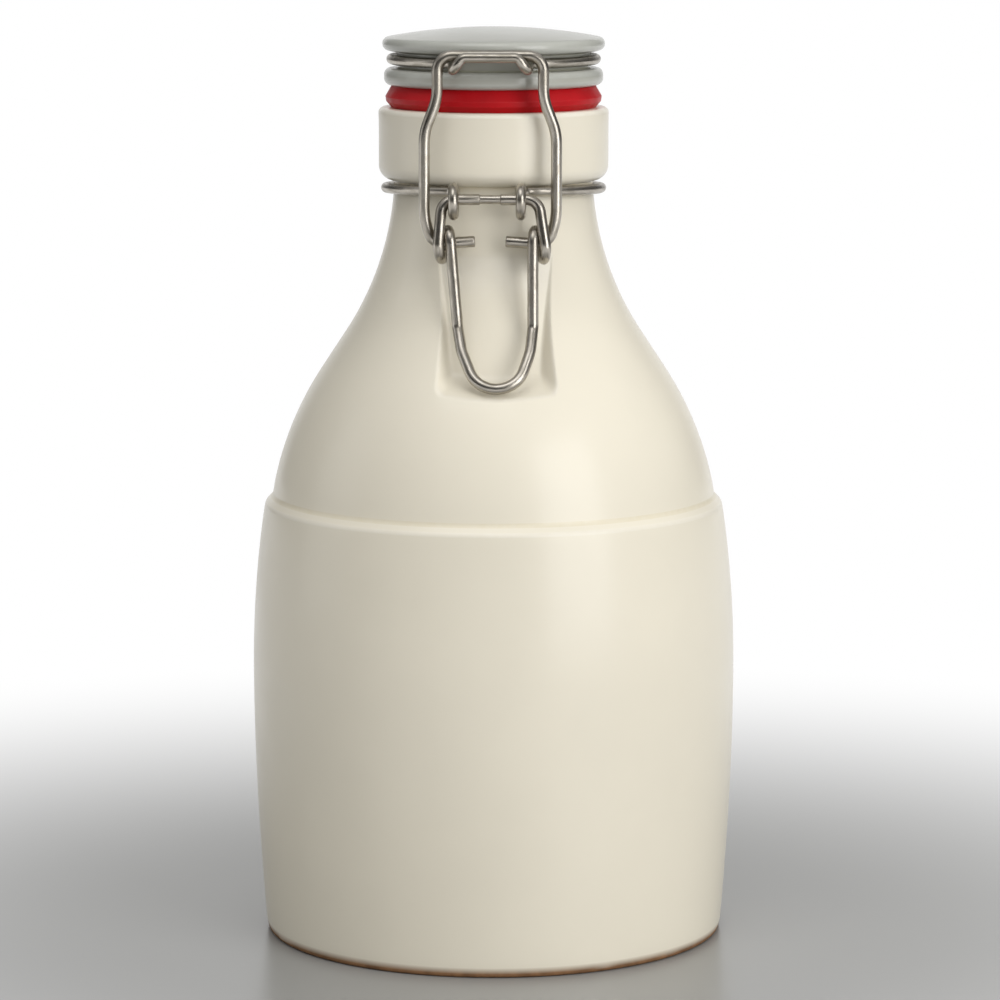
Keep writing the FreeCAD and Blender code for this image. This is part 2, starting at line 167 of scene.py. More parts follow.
class GasketSizes(bpy.types.PropertyGroup):
    hole_radius: length("Hole radius", "Inside of the gasket", 22.5)
    foot_radius: length("Foot radius", "Outside where it lies on the collar", 29.0)
    band_inset: length("Band inset", "How far the band stands back from the widest edge", 0.2)
    band_height: length("Band height", "Height of the band above the collar", 1.7)
    lip_height: length("Lip height", "Height of the widest edge above the collar", 3.1)
    top_radius: length("Top radius", "Outside where the lid presses on it", 28.8)
    edge: length("Edge", "Rounding of its edges", 0.3)
    squeeze: length("Squeeze", "Unevenness of the squeezed edge", 0.14)


class LidSizes(bpy.types.PropertyGroup):
    boss_radius: length("Boss radius", "Stub that centres the lid in the gasket", 22.0)
    lower_flange: length("Lower flange", "Thickness of the lower flange", 4.8)
    lower_radius: length("Lower radius", "Outside of the lower flange", 31.0)
    groove: length("Groove", "Height of the groove for the lid wire", 4.9)
    groove_radius: length("Groove radius", "Bottom of the groove", 27.2)
    upper_flange: length("Upper flange", "Thickness of the upper flange", 3.9)
    edge_round: length("Edge round", "Rounding of the flanges", 1.85)
    dome: length("Dome", "Rise of the lid's top", 2.6)


class WireSizes(bpy.types.PropertyGroup):
    ring_wire: length("Ring wire", "Thickness of the neck and lid wires", 2.8)
    lever_wire: length("Lever wire", "Thickness of the lever and the bail", 3.1)
    wire_gap: length("Wire gap", "Play between wires", 0.3)
    clamp_turn: angle("Clamp turn", "How far the closure is turned about the axis", -1.5)
    cut_bevel: length("Cut bevel", "Bevel round the cut ends", 0.28)
    neck_radius: length("Neck ring radius", "Middle of the ring under the collar", 30.5)
    neck_height: length("Neck ring height", "Height of that ring", 213.75)
    neck_tilt: angle("Neck ring tilt", "How far its front is pulled up", 2.3)
    eye_radius: length("Eye radius", "Middle of the wire in the two eyes", 3.85)
    eye_front: length("Eye front", "Distance of the eyes from the axis", 36.4)
    eye_height: length("Eye height", "Height of the eyes", 212.8)
    eye_half_spacing: length("Eye spacing", "Half the distance between the eyes", 9.3)
    eye_offset: length("Eye offset", "How far both eyes stand to the left", 0.8)
    eye_bend: length("Eye bend", "Bend from the ring into an eye", 3.0)
    hinge_half_width: length("Hinge width", "Half the distance of the lid wire's legs", 5.0)
    hinge_back: length("Hinge back", "Distance of the hinge legs from the axis", 35.0)
    hinge_bend: length("Hinge bend", "Bends of the hinge legs", 3.0)
    hinge_bar_half: length("Hinge bar", "Half the width of the neck wire's hinge bar", 9.6)
    hinge_bar_bend: length("Hinge bar bend", "Bends of the hinge bar", 2.6)
    hook_half_width: length("Hook width", "Half the distance of the hook's arms", 10.4)
    hook_bar_half: length("Hook bar", "Half the width of the hook's crossbar", 7.6)
    hook_bar_height: length("Hook bar height", "Height of the crossbar", 252.3)
    hook_valley: length("Hook valley", "Lowest place of the hook's arms", 248.5)
    hook_bend: length("Hook bend", "Bend of the hook's arms", 2.4)
    hook_ring_bend: length("Hook ring bend", "Bend from the ring into the hook", 3.0)


class LeverSizes(bpy.types.PropertyGroup):
    bar_rise: length("Bar rise", "Height of the bar over the eyes' middle", 0.5)
    coil_radius: length("Coil radius", "Middle of the wire in the two coils", 3.9)
    coil_front: length("Coil front", "Distance of the coils from the axis", 35.2)
    coil_height: length("Coil height", "Height of the coils", 200.7)
    coil_half_spacing: length("Coil spacing", "Half the distance between the coils", 13.15)
    coil_shift: length("Coil shift", "Sideways travel of a coil's turn", 3.9)
    shoulder: length("Shoulder", "Half the width of the bar at its bends", 13.3)
    bend: length("Bend", "Bends at the ends of the bar", 4.0)
    kink_half_width: length("Kink width", "Half the handle's width at its kinks", 10.4)
    kink_front: length("Kink front", "Distance of the kinks from the axis", 39.9)
    kink_height: length("Kink height", "Height of the kinks", 178.2)
    kink_bend: length("Kink bend", "Bend at the kinks", 4.0)
    waist_half_width: length("Waist width", "Half the handle's width below the kinks", 9.5)
    waist_height: length("Waist height", "Height of that place", 172.0)
    waist_bend: length("Waist bend", "Bend there", 14.0)
    tip_height: length("Tip height", "Height of the handle's tip", 148.4)
    tip_front: length("Tip front", "Distance of the tip from the axis", 58.2)
    tip_bend: length("Tip bend", "Bend of the tip", 7.8)
    lean: length("Lean", "How far the tip leans to the right", 2.8)
    pin_length: length("Pin length", "Length of the slimmer pin in the bar", 5.6)
    pin_diameter: length("Pin diameter", "Thickness of that pin", 2.5)


class BailSizes(bpy.types.PropertyGroup):
    front: length("Front", "Distance of the top bar from the axis", 33.9)
    height: length("Height", "Height of the top bar", 252.7)
    half_width: length("Half width", "Half the bail's width at the top", 14.65)
    corner: length("Corner", "Bends of the top corners", 4.2)
    jog_top: length("Jog top", "Where the legs begin to spread", 240.8)
    jog_bottom: length("Jog bottom", "Where they are spread", 231.6)
    jog_bend: length("Jog bend", "Bends of the spread", 16.0)
    lower_half_width: length("Lower half width", "Half the bail's width below", 18.25)
    taper_height: length("Taper height", "Where the legs turn in", 207.5)
    taper_bend: length("Taper bend", "Bend there", 20.0)
    foot_half_width: length("Foot half width", "Half the width at the bail's feet", 15.9)
    foot_bend: length("Foot bend", "Bends of the feet", 4.3)
    stub_lift: length("Stub lift", "Height of the feet over the coils' middle", 0.1)
    stub_end: length("Stub end", "Half the gap between the cut ends", 4.25)
    stub_rise: length("Stub rise", "How far the cut ends rise", 0.8)


class Finishes(bpy.types.PropertyGroup):
    glaze: tint("Glaze", "Cream glaze on an even wall", 233, 226, 208)
    # Darker glaze in corners and creases: glaze lying thicker there, and painted shade under the
    # collar, below the ledge and in the recess's inner creases.
    glaze_pooled_shade: tint("Pooled glaze", "Where the glaze lies thick", 227, 218, 194)
    # Lighter glaze on edges: glaze thinning over them, and a painted highlight on the ledge, the
    # collar's rims and the recess's rim.
    glaze_thin_highlight: tint("Thin glaze", "Where it thins over an edge", 236, 230, 215)
    clay: tint("Clay", "Bare clay of the foot", 132, 98, 68)
    iron_speck: tint("Iron speck", "Specks in the glaze", 88, 70, 54)
    glaze_roughness: amount("Glaze roughness", "Roughness under the gloss", 0.42)
    porcelain: tint("Porcelain", "The lid's cooler white", 170, 170, 160)
    # Darker olive grey in the lid's corners: painted shade, darkest in the groove under the lid
    # wire.
    porcelain_groove_shade: tint("Pooled porcelain", "In the lid's corners", 158, 157, 138)
    # Lighter grey on the lid's rims: thinner glaze there and a painted highlight.
    porcelain_thin_highlight: tint("Thin porcelain", "On the lid's rims", 178, 179, 171)
    porcelain_roughness: amount("Porcelain roughness", "Roughness under its gloss", 0.42)
    rubber: tint("Rubber", "Red of the gasket", 178, 10, 20)
    # Paler red on the gasket's edges: a painted highlight.
    rubber_edge_highlight: tint("Rubber edge highlight", "Paler bloom on its edges", 190, 34, 38)
    rubber_roughness: amount("Rubber roughness", "Satin of the gasket", 0.44)
    steel: tint("Steel", "Drawn stainless wire", 178, 172, 162)
    steel_dull: tint("Dull steel", "Where the wire is handled", 146, 140, 128)


class StudioSettings(bpy.types.PropertyGroup):
    camera_distance: length("Camera distance", "How far in front the camera stands", 1300.8)
    camera_height: length("Camera height", "Height of the camera", 318.9)
    camera_pitch: angle("Camera pitch", "How far it looks down", 8.52)
    camera_lens: bpy.props.FloatProperty(
        name="Lens", description="Focal length", default=165.19, unit="CAMERA"
    )
    camera_shift: bpy.props.FloatProperty(
        name="Shift", description="Sideways shift of the frame", default=0.0064, precision=4
    )
    key: amount("Key", "Brightness of the large lamp at the right", 3.75)
    fill: amount("Fill", "Brightness of the lamp at the left", 0.9)
    top: amount("Top", "Brightness of the lamp overhead", 1.95)
    ambient: amount("Ambient", "Level of the light from all round", 0.5)
    ambient_lean: amount("Ambient lean", "How much of it comes from the right", 0.2)
    floor: tint("Floor", "Pale floor", 152, 152, 150)


class GrowlerSettings(bpy.types.PropertyGroup):
    bottle: bpy.props.PointerProperty(type=BottleSizes)
    recess: bpy.props.PointerProperty(type=RecessSizes)
    gasket: bpy.props.PointerProperty(type=GasketSizes)
    lid: bpy.props.PointerProperty(type=LidSizes)
    wires: bpy.props.PointerProperty(type=WireSizes)
    lever: bpy.props.PointerProperty(type=LeverSizes)
    bail: bpy.props.PointerProperty(type=BailSizes)
    finishes: bpy.props.PointerProperty(type=Finishes)
    studio: bpy.props.PointerProperty(type=StudioSettings)


# --- outlines: half sections in radius and height ---

def smooth_step(value):
    share = min(max(value, 0.0), 1.0)
    return share * share * (3 - 2 * share)


def bow(centre, start, end, count):
    """Points round a centre from start to end the short way, without start."""
    first = math.atan2(start.y - centre.y, start.x - centre.x)
    last = math.atan2(end.y - centre.y, end.x - centre.x)
    sweep = (last - first + math.pi) % FULL_TURN - math.pi
    radius = (start - centre).length
    turns = [first + sweep * step / count for step in range(1, count + 1)]
    return [centre + radius * Vector((math.cos(t), math.sin(t))) for t in turns]


def circle_centre(start, middle, end):
    """Centre of the circle through three points."""
    a, b = middle - start, end - start
    cross = 2 * (a.x * b.y - a.y * b.x)
    across = Vector((b.y * a.dot(a) - a.y * b.dot(b), a.x * b.dot(b) - b.x * a.dot(a)))
    return start + across / cross


def arc_through(start, middle, end, count):
    return bow(circle_centre(start, middle, end), start, end, count)


def rounded_outline(corners, steps=7):
    """Outline through (point, rounding) pairs; a rounding of 0 keeps a point."""
    points = [corners[0][0]]
    for before, (corner, bend), after in zip(corners, corners[1:], corners[2:]):
        if bend == 0:
            points.append(corner)
            continue
        back = (before[0] - corner).normalized()
        ahead = (after[0] - corner).normalized()
        half = back.angle(ahead) / 2
        centre = corner + (back + ahead).normalized() * (bend / math.sin(half))
        reach = bend / math.tan(half)
        first = corner + back * reach
        points += [first] + bow(centre, first, corner + ahead * reach, steps)
    return points + [corners[-1][0]]


def divided(outline, longest):
    """Outline with no piece longer than longest(height)."""
    points = [outline[0]]
    for end in outline[1:]:
        start = points[-1]
        count = max(1, math.ceil((end - start).length / longest((start.y + end.y) / 2)))
        points += [start.lerp(end, step / count) for step in range(1, count + 1)]
    return points


def edge_marks(outline, closed):
    """How sharply the outline turns at each point, from -1 in a corner to 1 on an edge."""
    sharpest = 1 / (2 * MM)
    marks = []
    count = len(outline)
    for index, here in enumerate(outline):
        before = outline[index - 1] if index or closed else here
        after = outline[(index + 1) % count] if index < count - 1 or closed else here
        back, ahead = here - before, after - here
        if back.length < 1e-9 or ahead.length < 1e-9:
            marks.append(0.0)
            continue
        turn = math.atan2(back.x * ahead.y - back.y * ahead.x, back.dot(ahead))
        bend = turn / ((back.length + ahead.length) / 2)
        marks.append(min(max(bend / sharpest, -1.0), 1.0))
    return marks


# --- meshes ---

def new_mesh(name, points, faces, marks):
    """Mesh with smooth faces, sharp creases and one attribute for each kind of mark."""
    mesh = bpy.data.meshes.new(name)
    mesh.from_pydata(points, [], faces)
    for label, values in marks.items():
        kind = "FLOAT_VECTOR" if label == "grain" else "FLOAT"
        layer = mesh.attributes.new(label, kind, "POINT")
        if label == "grain":
            layer.data.foreach_set("vector", [axis for value in values for axis in value])
        else:
            layer.data.foreach_set("value", values)
    mesh.polygons.foreach_set("use_smooth", [True] * len(mesh.polygons))
    mesh.set_sharp_from_angle(angle=CREASE_ANGLE)
    if mesh.validate():
        raise RuntimeError(f"{name} has faulty faces")
    return mesh


def turned_mesh(name, outline, angles, shape, closed=False):
    """Turns an outline round the bottle's axis. shape(turn, radius, height) gives the
    true radius and height there, and the marks that the finish reads."""
    points, faces, rows, marks = [], [], [], {"edge": []}
    for place, edge in zip(outline, edge_marks(outline, closed)):
        on_axis = place.x < 1e-7
        row = []
        for turn in angles[:1] if on_axis else angles:
            radius, height, found = shape(turn, place.x, place.y)
            row.append(len(points))
            points.append((radius * math.sin(turn), -radius * math.cos(turn), height))
            marks["edge"].append(min(max(edge + found.pop("edge", 0.0), -1.0), 1.0))
            for label, value in found.items():
                marks.setdefault(label, []).append(value)
        rows.append(row)
    pairs = list(zip(rows, rows[1:])) + ([(rows[-1], rows[0])] if closed else [])
    for low, high in pairs:
        for step in range(len(angles)):
            here = [low[step % len(low)], low[(step + 1) % len(low)]]
            there = [high[(step + 1) % len(high)], high[step % len(high)]]
            faces.append(list(dict.fromkeys(here + there)))
    return new_mesh(name, points, faces, marks)


def even_angles(count):
    return [FULL_TURN * step / count for step in range(count)]


def as_turned(turn, radius, height):
    """Shape that keeps the outline as it is."""
    return radius, height, {}


def swell(turn, height, waves, spacing):
    """Slow unevenness from 0 to 1, round a turned piece and up it."""
    place = Vector((math.sin(turn) * waves, math.cos(turn) * waves, height / spacing))
    return (noise.noise(place) + 1) / 2


# --- bottle ---

def wall_radius(s, height):
    """Radius of the body's wall, one curve below the belly and one above."""
    rise = height - s.belly_height
    curve = s.curve_above if rise > 0 else s.curve_below
    return BOTTLE_BOX[1].x - (curve - math.sqrt(curve * curve - rise * rise))


def bottle_outline(s):
    """Half section from the middle of the foot up to the middle of the mouth."""
    lower_steps, upper_steps, bend_steps = 26, 15, 24
    collar_top = BOTTLE_BOX[1].z
    inner_foot = s.foot_radius - s.foot_ring
    foot = Vector((s.foot_radius, 0.0))
    belly = Vector((BOTTLE_BOX[1].x, s.belly_height))
    half_way = s.belly_height / 2
    above = (s.belly_height + s.ledge_height) / 2
    ledge = Vector((wall_radius(s, s.ledge_height), s.ledge_height))
    step = ledge + Vector((-s.ledge_in, s.ledge_rise))
    low = arc_through(foot, Vector((wall_radius(s, half_way), half_way)), belly, lower_steps)
    high = arc_through(belly, Vector((wall_radius(s, above), above)), ledge, upper_steps)

    lean = Vector((math.cos(s.shoulder_start), math.sin(s.shoulder_start)))
    slope = Vector((math.cos(s.shoulder_slope), math.sin(s.shoulder_slope)))
    start = Vector((s.shoulder_radius, s.shoulder_height))
    centre = start - lean * s.shoulder_curve
    crest = centre + slope * s.shoulder_curve
    run_end = crest + Vector((-slope.y, slope.x)) * s.shoulder_run
    neck_centre = run_end + slope * s.neck_curve
    rise = neck_centre.y - s.collar_bottom
    reach = math.sqrt(s.neck_curve * s.neck_curve - rise * rise)
    neck = Vector((neck_centre.x - reach, s.collar_bottom))

    corners = [(Vector((0.0, s.foot_recess)), 0)]
    corners.append((Vector((inner_foot - s.foot_recess, s.foot_recess)), 0))
    corners.append((Vector((inner_foot, 0.0)), 0))
    corners.append((foot, s.foot_round))
    corners += [(point, 0) for point in low + high[:-1]]
    corners += [(ledge, s.ledge_round), (step, s.ledge_round), (start, 0)]
    corners += [(point, 0) for point in bow(centre, start, crest, bend_steps)]
    corners.append((run_end, 0))
    corners += [(point, 0) for point in bow(neck_centre, run_end, neck, bend_steps)]
    corners.append((Vector((s.collar_radius, s.collar_bottom)), s.collar_lower_round))
    corners.append((Vector((s.collar_radius, collar_top)), s.collar_upper_round))
    corners.append((Vector((0.0, collar_top)), 0))
    return rounded_outline(corners)


def nearness(a, b, width):
    """How near two surfaces are, as a share of the rounding between them."""
    return max(width - abs(a - b), 0.0) / width


def outer_of(a, b, width):
    """The larger of two radii with the corner between them rounded, and the corner's share."""
    share = nearness(a, b, width)
    return max(a, b) + share * share * width / 4, share


def recess_radius(r, turn, height):
    """Radius at which a ray from the axis enters the recess, and its inner creases."""
    rise_per_run = 3
    rim_lean = 1.6
    least_spread = 1e-4
    side, front = abs(math.sin(turn)), math.cos(turn)
    low = Vector((r.floor_radius, r.floor_height))
    middle = Vector((r.middle_radius, r.middle_height))
    fade = Vector((r.fade_radius, r.fade_height))
    centre = circle_centre(low, middle, fade)
    curve = (low - centre).length
    level = min(max(height, low.y), fade.y)
    floor = centre.x - math.sqrt(curve * curve - (level - centre.y) ** 2)
    floor += max(height - fade.y, 0.0) / rise_per_run

    flare = r.wall_run / r.wall_depth
    rim = -math.sqrt(r.lip_radius * r.lip_radius - r.half_width * r.half_width)
    backward = (r.floor_radius - r.fade_radius) * rim_lean / (r.fade_height - r.floor_height)
    rim += (height - r.lip_height) * backward
    spread = flare * front - side
    far = r.lip_radius * 3
    wall = min(-(r.half_width + flare * rim) / spread, far) if spread > least_spread else far

    steepness = (r.floor_height - r.lip_height) / (r.lip_radius - r.floor_radius)
    lip = (r.floor_radius + (r.floor_height - height) / steepness) / front

    entry, crease = outer_of(floor, wall, r.inner_round)
    return outer_of(entry, lip, r.lip_round)[0], crease


def bottle_angles(reach):
    """Angles round the bottle, close together where the recess is, from -reach to reach."""
    fine, coarse = math.radians(0.5), math.radians(1.6)
    count = round(2 * reach / fine)
    front = [-reach + 2 * reach * step / count for step in range(count)]
    rest = FULL_TURN - 2 * reach
    count = round(rest / coarse)
    return front + [reach + rest * step / count for step in range(count)]


def build_bottle_mesh(s, r):
    recess_reach = math.radians(40)
    recess_edge = recess_reach * 0.97
    recess_low = r.lip_height - 5 * MM
    recess_high = r.fade_height + 4 * MM
    lip_high = r.floor_height + 3 * MM
    lip_piece, recess_piece, plain_piece = 0.34 * MM, 0.6 * MM, 3 * MM
    still_radius = s.collar_radius - 12 * MM
    wall_fade, mouth_fade, line_fade = 4 * MM, 6 * MM, 0.35 * MM
    line_wander, line_stretch, line_waves = 0.35, 6, 3
    rim_highlight_mark, crease_shade_mark = 0.8, 0.35
    belly, mouth = BOTTLE_BOX[1].x, BOTTLE_BOX[1].z

    def longest(height):
        if recess_low < height < lip_high:
            return lip_piece
        return recess_piece if recess_low < height < recess_high else plain_piece

    def shape(turn, radius, height):
        around = Vector((math.sin(turn), math.cos(turn), height / s.wave_spacing))
        around.xy *= belly / s.wave_spacing
        wave = s.glaze_wave * (noise.noise(around) + 1) / 2
        on_wall = smooth_step((radius - still_radius) / wall_fade)
        radius -= wave * on_wall * smooth_step((mouth - height) / mouth_fade)
        around.z *= line_stretch
        line_height = s.bare_height * (1 + line_wander * noise.noise(around * line_waves))
        bare = 1 - smooth_step((height - line_height) / line_fade)
        radius -= s.glaze_thickness * bare * on_wall
        found = {"bare": bare, "edge": 0.0}
        here = turn - r.turn
        if recess_low < height < recess_high and abs(here) < recess_edge:
            entry, crease = recess_radius(r, here, height)
            rim = nearness(radius, entry, r.rim_round)
            in_recess = entry < radius
            radius = min(radius, entry) - rim * rim * r.rim_round / 4
            # The rim is marked as an edge, for the lighter glaze and its painted highlight; the
            # inner creases as corners, for the darker glaze and its painted shade.
            found["edge"] = rim * rim_highlight_mark - (crease * crease_shade_mark if in_recess else 0.0)
        return radius, height, found

    outline = divided(bottle_outline(s), longest)
    return turned_mesh("glazed_bottle", outline, bottle_angles(recess_reach), shape)


# --- gasket and lid ---

def build_gasket_mesh(s):
    base, top = GASKET_BOX[0].z, GASKET_BOX[1].z
    lip_radius = GASKET_BOX[1].x
    longest, wave_spacing, wave_fade = 0.8 * MM, 5 * MM, 5 * MM
    waves, bend_steps, columns = 4, 5, 240
    corners = [
        (Vector((s.hole_radius, base)), 0),
        (Vector((s.foot_radius, base)), s.edge),
        (Vector((lip_radius - s.band_inset, base + s.band_height)), s.edge),
        (Vector((lip_radius, base + s.lip_height)), s.edge),
        (Vector((s.top_radius, top)), s.edge),
        (Vector((s.hole_radius, top)), 0),
    ]
    outline = divided(rounded_outline(corners, bend_steps), lambda height: longest)

    def shape(turn, radius, height):
        squeeze = s.squeeze * swell(turn, height, waves, wave_spacing)
        share = smooth_step((radius - s.hole_radius) / wave_fade)
        return radius - squeeze * share, height, {}

    return turned_mesh("red_gasket", outline, even_angles(columns), shape, closed=True)


def build_lid_mesh(s, seat):
    base = LID_BOX[0].z
    upper_radius = LID_BOX[1].x
    boss_edge, groove_round, longest = 0.3 * MM, 0.6 * MM, 2 * MM
    wave_depth, wave_spacing, wave_fade = 0.07 * MM, 14 * MM, 4 * MM
    waves, dome_steps, bend_steps, columns = 2, 16, 9, 256
    rim_in = 1.3 * s.edge_round
    lower = seat + s.lower_flange
    upper = lower + s.groove
    top = upper + s.upper_flange
    dome_radius = upper_radius - rim_in
    lean = 2 * math.atan(s.dome / dome_radius)
    rim_top = top - rim_in * math.tan(lean)
    curve = (dome_radius ** 2 + s.dome ** 2) / (2 * s.dome)
    crown = Vector((0.0, LID_BOX[1].z))
    dome = bow(crown - Vector((0.0, curve)), Vector((dome_radius, top)), crown, dome_steps)
    corners = [
        (Vector((0.0, base)), 0),
        (Vector((s.boss_radius, base)), boss_edge),
        (Vector((s.boss_radius, seat)), boss_edge),
        (Vector((s.lower_radius, seat)), s.edge_round),
        (Vector((s.lower_radius, lower)), s.edge_round),
        (Vector((s.groove_radius, lower)), groove_round),
        (Vector((s.groove_radius, upper)), groove_round),
        (Vector((upper_radius, upper)), s.edge_round),
        (Vector((upper_radius, rim_top)), s.edge_round),
        (Vector((dome_radius, top)), 0),
    ]
    corners += [(point, 0) for point in dome]
    outline = divided(rounded_outline(corners, bend_steps), lambda height: longest)

    def shape(turn, radius, height):
        wave = wave_depth * swell(turn, height, waves, wave_spacing)
        share = smooth_step((radius - s.boss_radius) / wave_fade)
        return radius - wave * share, height, {}

    return turned_mesh("porcelain_lid", outline, even_angles(columns), shape)


# --- wires ---

def rounded_route(corners, bends):
    """Places and headings along straight runs joined by arcs, a bend for each inner corner."""
    finest, shortest = math.radians(5), 0.03 * MM
    stations = [(corners[0], (corners[1] - corners[0]).normalized())]
    for before, corner, after, bend in zip(corners, corners[1:], corners[2:], bends):
        back = (before - corner).normalized()
        ahead = (after - corner).normalized()
        half = back.angle(ahead) / 2
        centre = corner + (back + ahead).normalized() * (bend / math.sin(half))
        out = (corner + back * (bend / math.tan(half)) - centre).normalized()
        sweep = math.pi - 2 * half
        count = max(2, math.ceil(sweep / finest))
        for step in range(count + 1):
            turn = sweep * step / count
            place = centre + bend * (out * math.cos(turn) - back * math.sin(turn))
            stations.append((place, -out * math.sin(turn) - back * math.cos(turn)))
    stations.append((corners[-1], (corners[-1] - corners[-2]).normalized()))
    kept = stations[:1]
    for station in stations[1:]:
        if (station[0] - kept[-1][0]).length > shortest:
            kept.append(station)
    return kept


def cut_ends(stations, radius, bevel):
    """Rings of (place, heading, radius, cut) along a wire, bevelled at both ends."""
    def end(place, heading, inward):
        return [
            (place, heading, radius - bevel, 1.0),
            (place + inward * bevel * 0.6, heading, radius - bevel * 0.25, 0.8),
            (place + inward * bevel * 1.3, heading, radius, 0.1),
        ]

    first, last = stations[0], stations[-1]
    rings = end(first[0], first[1], first[1])
    rings += [(place, heading, radius, 0.0) for place, heading in stations[1:-1]]
    return rings + end(last[0], last[1], -last[1])[::-1]


def wire_mesh(name, rings, closed=False, sides=30):
    """Skin round the rings of a wire, with its lengthwise grain as an attribute."""
    points, faces = [], []
    marks = {"grain": [], "cut": []}
    heading = rings[0][1]
    across = heading.orthogonal().normalized()
    frames = []
    for place, next_heading, _, _ in rings:
        across = heading.rotation_difference(next_heading) @ across
        heading = next_heading
        across = (across - heading * across.dot(heading)).normalized()
        frames.append((place, heading, across))
    twist = 0.0
    if closed:
        around = heading.rotation_difference(rings[0][1]) @ across
        first = frames[0][2]
        twist = math.atan2(first.cross(around).dot(rings[0][1]), first.dot(around))
    travelled = 0.0
    for index, ((place, heading, across), (_, _, radius, cut)) in enumerate(zip(frames, rings)):
        if index:
            travelled += (place - frames[index - 1][0]).length
        level = heading.cross(across)
        back = -twist * index / len(rings)
        for side in range(sides):
            turn = FULL_TURN * side / sides
            out = across * math.cos(turn + back) + level * math.sin(turn + back)
            points.append(place + out * radius)
            marks["grain"].append((math.cos(turn), math.sin(turn), travelled / MM))
            marks["cut"].append(cut)
    count = len(rings)
    for index in range(count if closed else count - 1):
        low, high = index * sides, (index + 1) % count * sides
        for side in range(sides):
            near, far = side, (side + 1) % sides
            faces.append((low + near, low + far, high + far, high + near))
    if not closed:
        for start, place, order in ((0, rings[0][0], -1), ((count - 1) * sides, rings[-1][0], 1)):
            middle = len(points)
            points.append(place)
            marks["grain"].append((0.0, 0.0, 0.0))
            marks["cut"].append(1.0)
            for side in range(sides):
                pair = (start + side, start + (side + 1) % sides)[::order]
                faces.append((*pair, middle))
    return new_mesh(name, points, faces, marks)


def coil(front, height, radius, first, last, steps, x_first, x_last):
    """Corners of a turn that runs over the top, down the front and under."""
    step = math.radians(last - first) / steps
    reach = radius / math.cos(step / 2)
    corners = []
    for index in range(steps):
        turn = math.radians(first) + step * (index + 0.5)
        x = x_first + (x_last - x_first) * (index + 0.5) / steps
        corners.append(
            Vector((x, reach * math.cos(turn) - front, reach * math.sin(turn) + height))
        )
    return corners


def on_turn(front, height, radius, degrees, x):
    """Point on a turn at an angle from straight back, over the top."""
    turn = math.radians(degrees)
    return Vector((x, radius * math.cos(turn) - front, radius * math.sin(turn) + height))


def mirrored(points):
    return [Vector((-point.x, point.y, point.z)) for point in points]


def ring_corners(radius, first, last, steps):
    """Corners round a ring, turning from the front towards the left."""
    step = (last - first) / steps
    reach = radius / math.cos(step / 2)
    turns = [first + step * (index + 0.5) for index in range(steps)]
    return [Vector((-reach * math.sin(t), -reach * math.cos(t), 0.0)) for t in turns]


def turn_off(radius, turn, x):
    """How far from the middle a ring's tangent reaches x."""
    run = (radius * math.sin(turn) - x) / math.cos(turn)
    return radius * math.cos(turn) + run * math.sin(turn)


def leave_angle(radius, x, bend):
    """Where a ring's wire has to leave it so that its bend fits beside x."""
    turn = math.asin(x / radius)
    needed_run, turn_step = 0.2 * MM, math.radians(0.5)
    while True:
        run = (radius * math.sin(turn) - x) / math.cos(turn)
        if run > bend * math.tan((math.pi / 2 - turn) / 2) + needed_run:
            return turn
        turn += turn_step


def clamp_route(left, right, bends, turn):
    """Route from a wire's left end to its right end, turned about the bottle's axis."""
    around = Matrix.Rotation(turn, 3, "Z")
    corners = [around @ point for point in left + mirrored(right)[::-1]]
    return rounded_route(corners, bends + bends[::-1])


def build_neck_wire_mesh(s):
    tilt = math.tan(s.neck_tilt)
    bar = s.hinge_bar_half
    rear = leave_angle(s.neck_radius, bar, s.hinge_bar_bend)
    first_turn, last_turn, turn_steps = 80, 350, 8

    def level(x, y):
        return Vector((x, y, s.neck_height - y * tilt))

    def side(x):
        """Left half with its eye at a distance x from the middle."""
        place = (s.eye_front, s.eye_height, s.eye_radius)
        eye = coil(*place, first_turn, last_turn, turn_steps, -x, -x)
        front = leave_angle(s.neck_radius, x, s.eye_bend)
        half = [on_turn(*place, last_turn, -x)] + eye[::-1]
        half.append(level(-x, -turn_off(s.neck_radius, front, x)))
        ring = ring_corners(s.neck_radius, front, math.pi - rear, RING_STEPS)
        half += [level(point.x, point.y) for point in ring]
        half.append(level(-bar, turn_off(s.neck_radius, rear, bar)))
        half.append(level(-bar, s.hinge_back + s.ring_wire + s.wire_gap))
        return half

    left = side(s.eye_half_spacing + s.eye_offset)
    right = side(s.eye_half_spacing - s.eye_offset)
    bends = [s.eye_radius * TURN_SHARE] * turn_steps + [s.eye_bend]
    bends += [s.neck_radius * RING_SHARE] * RING_STEPS + [s.hinge_bar_bend] * 2
    route = clamp_route(left, right, bends, s.clamp_turn)
    return wire_mesh("neck_ring_wire", cut_ends(route, s.ring_wire / 2, s.cut_bevel))


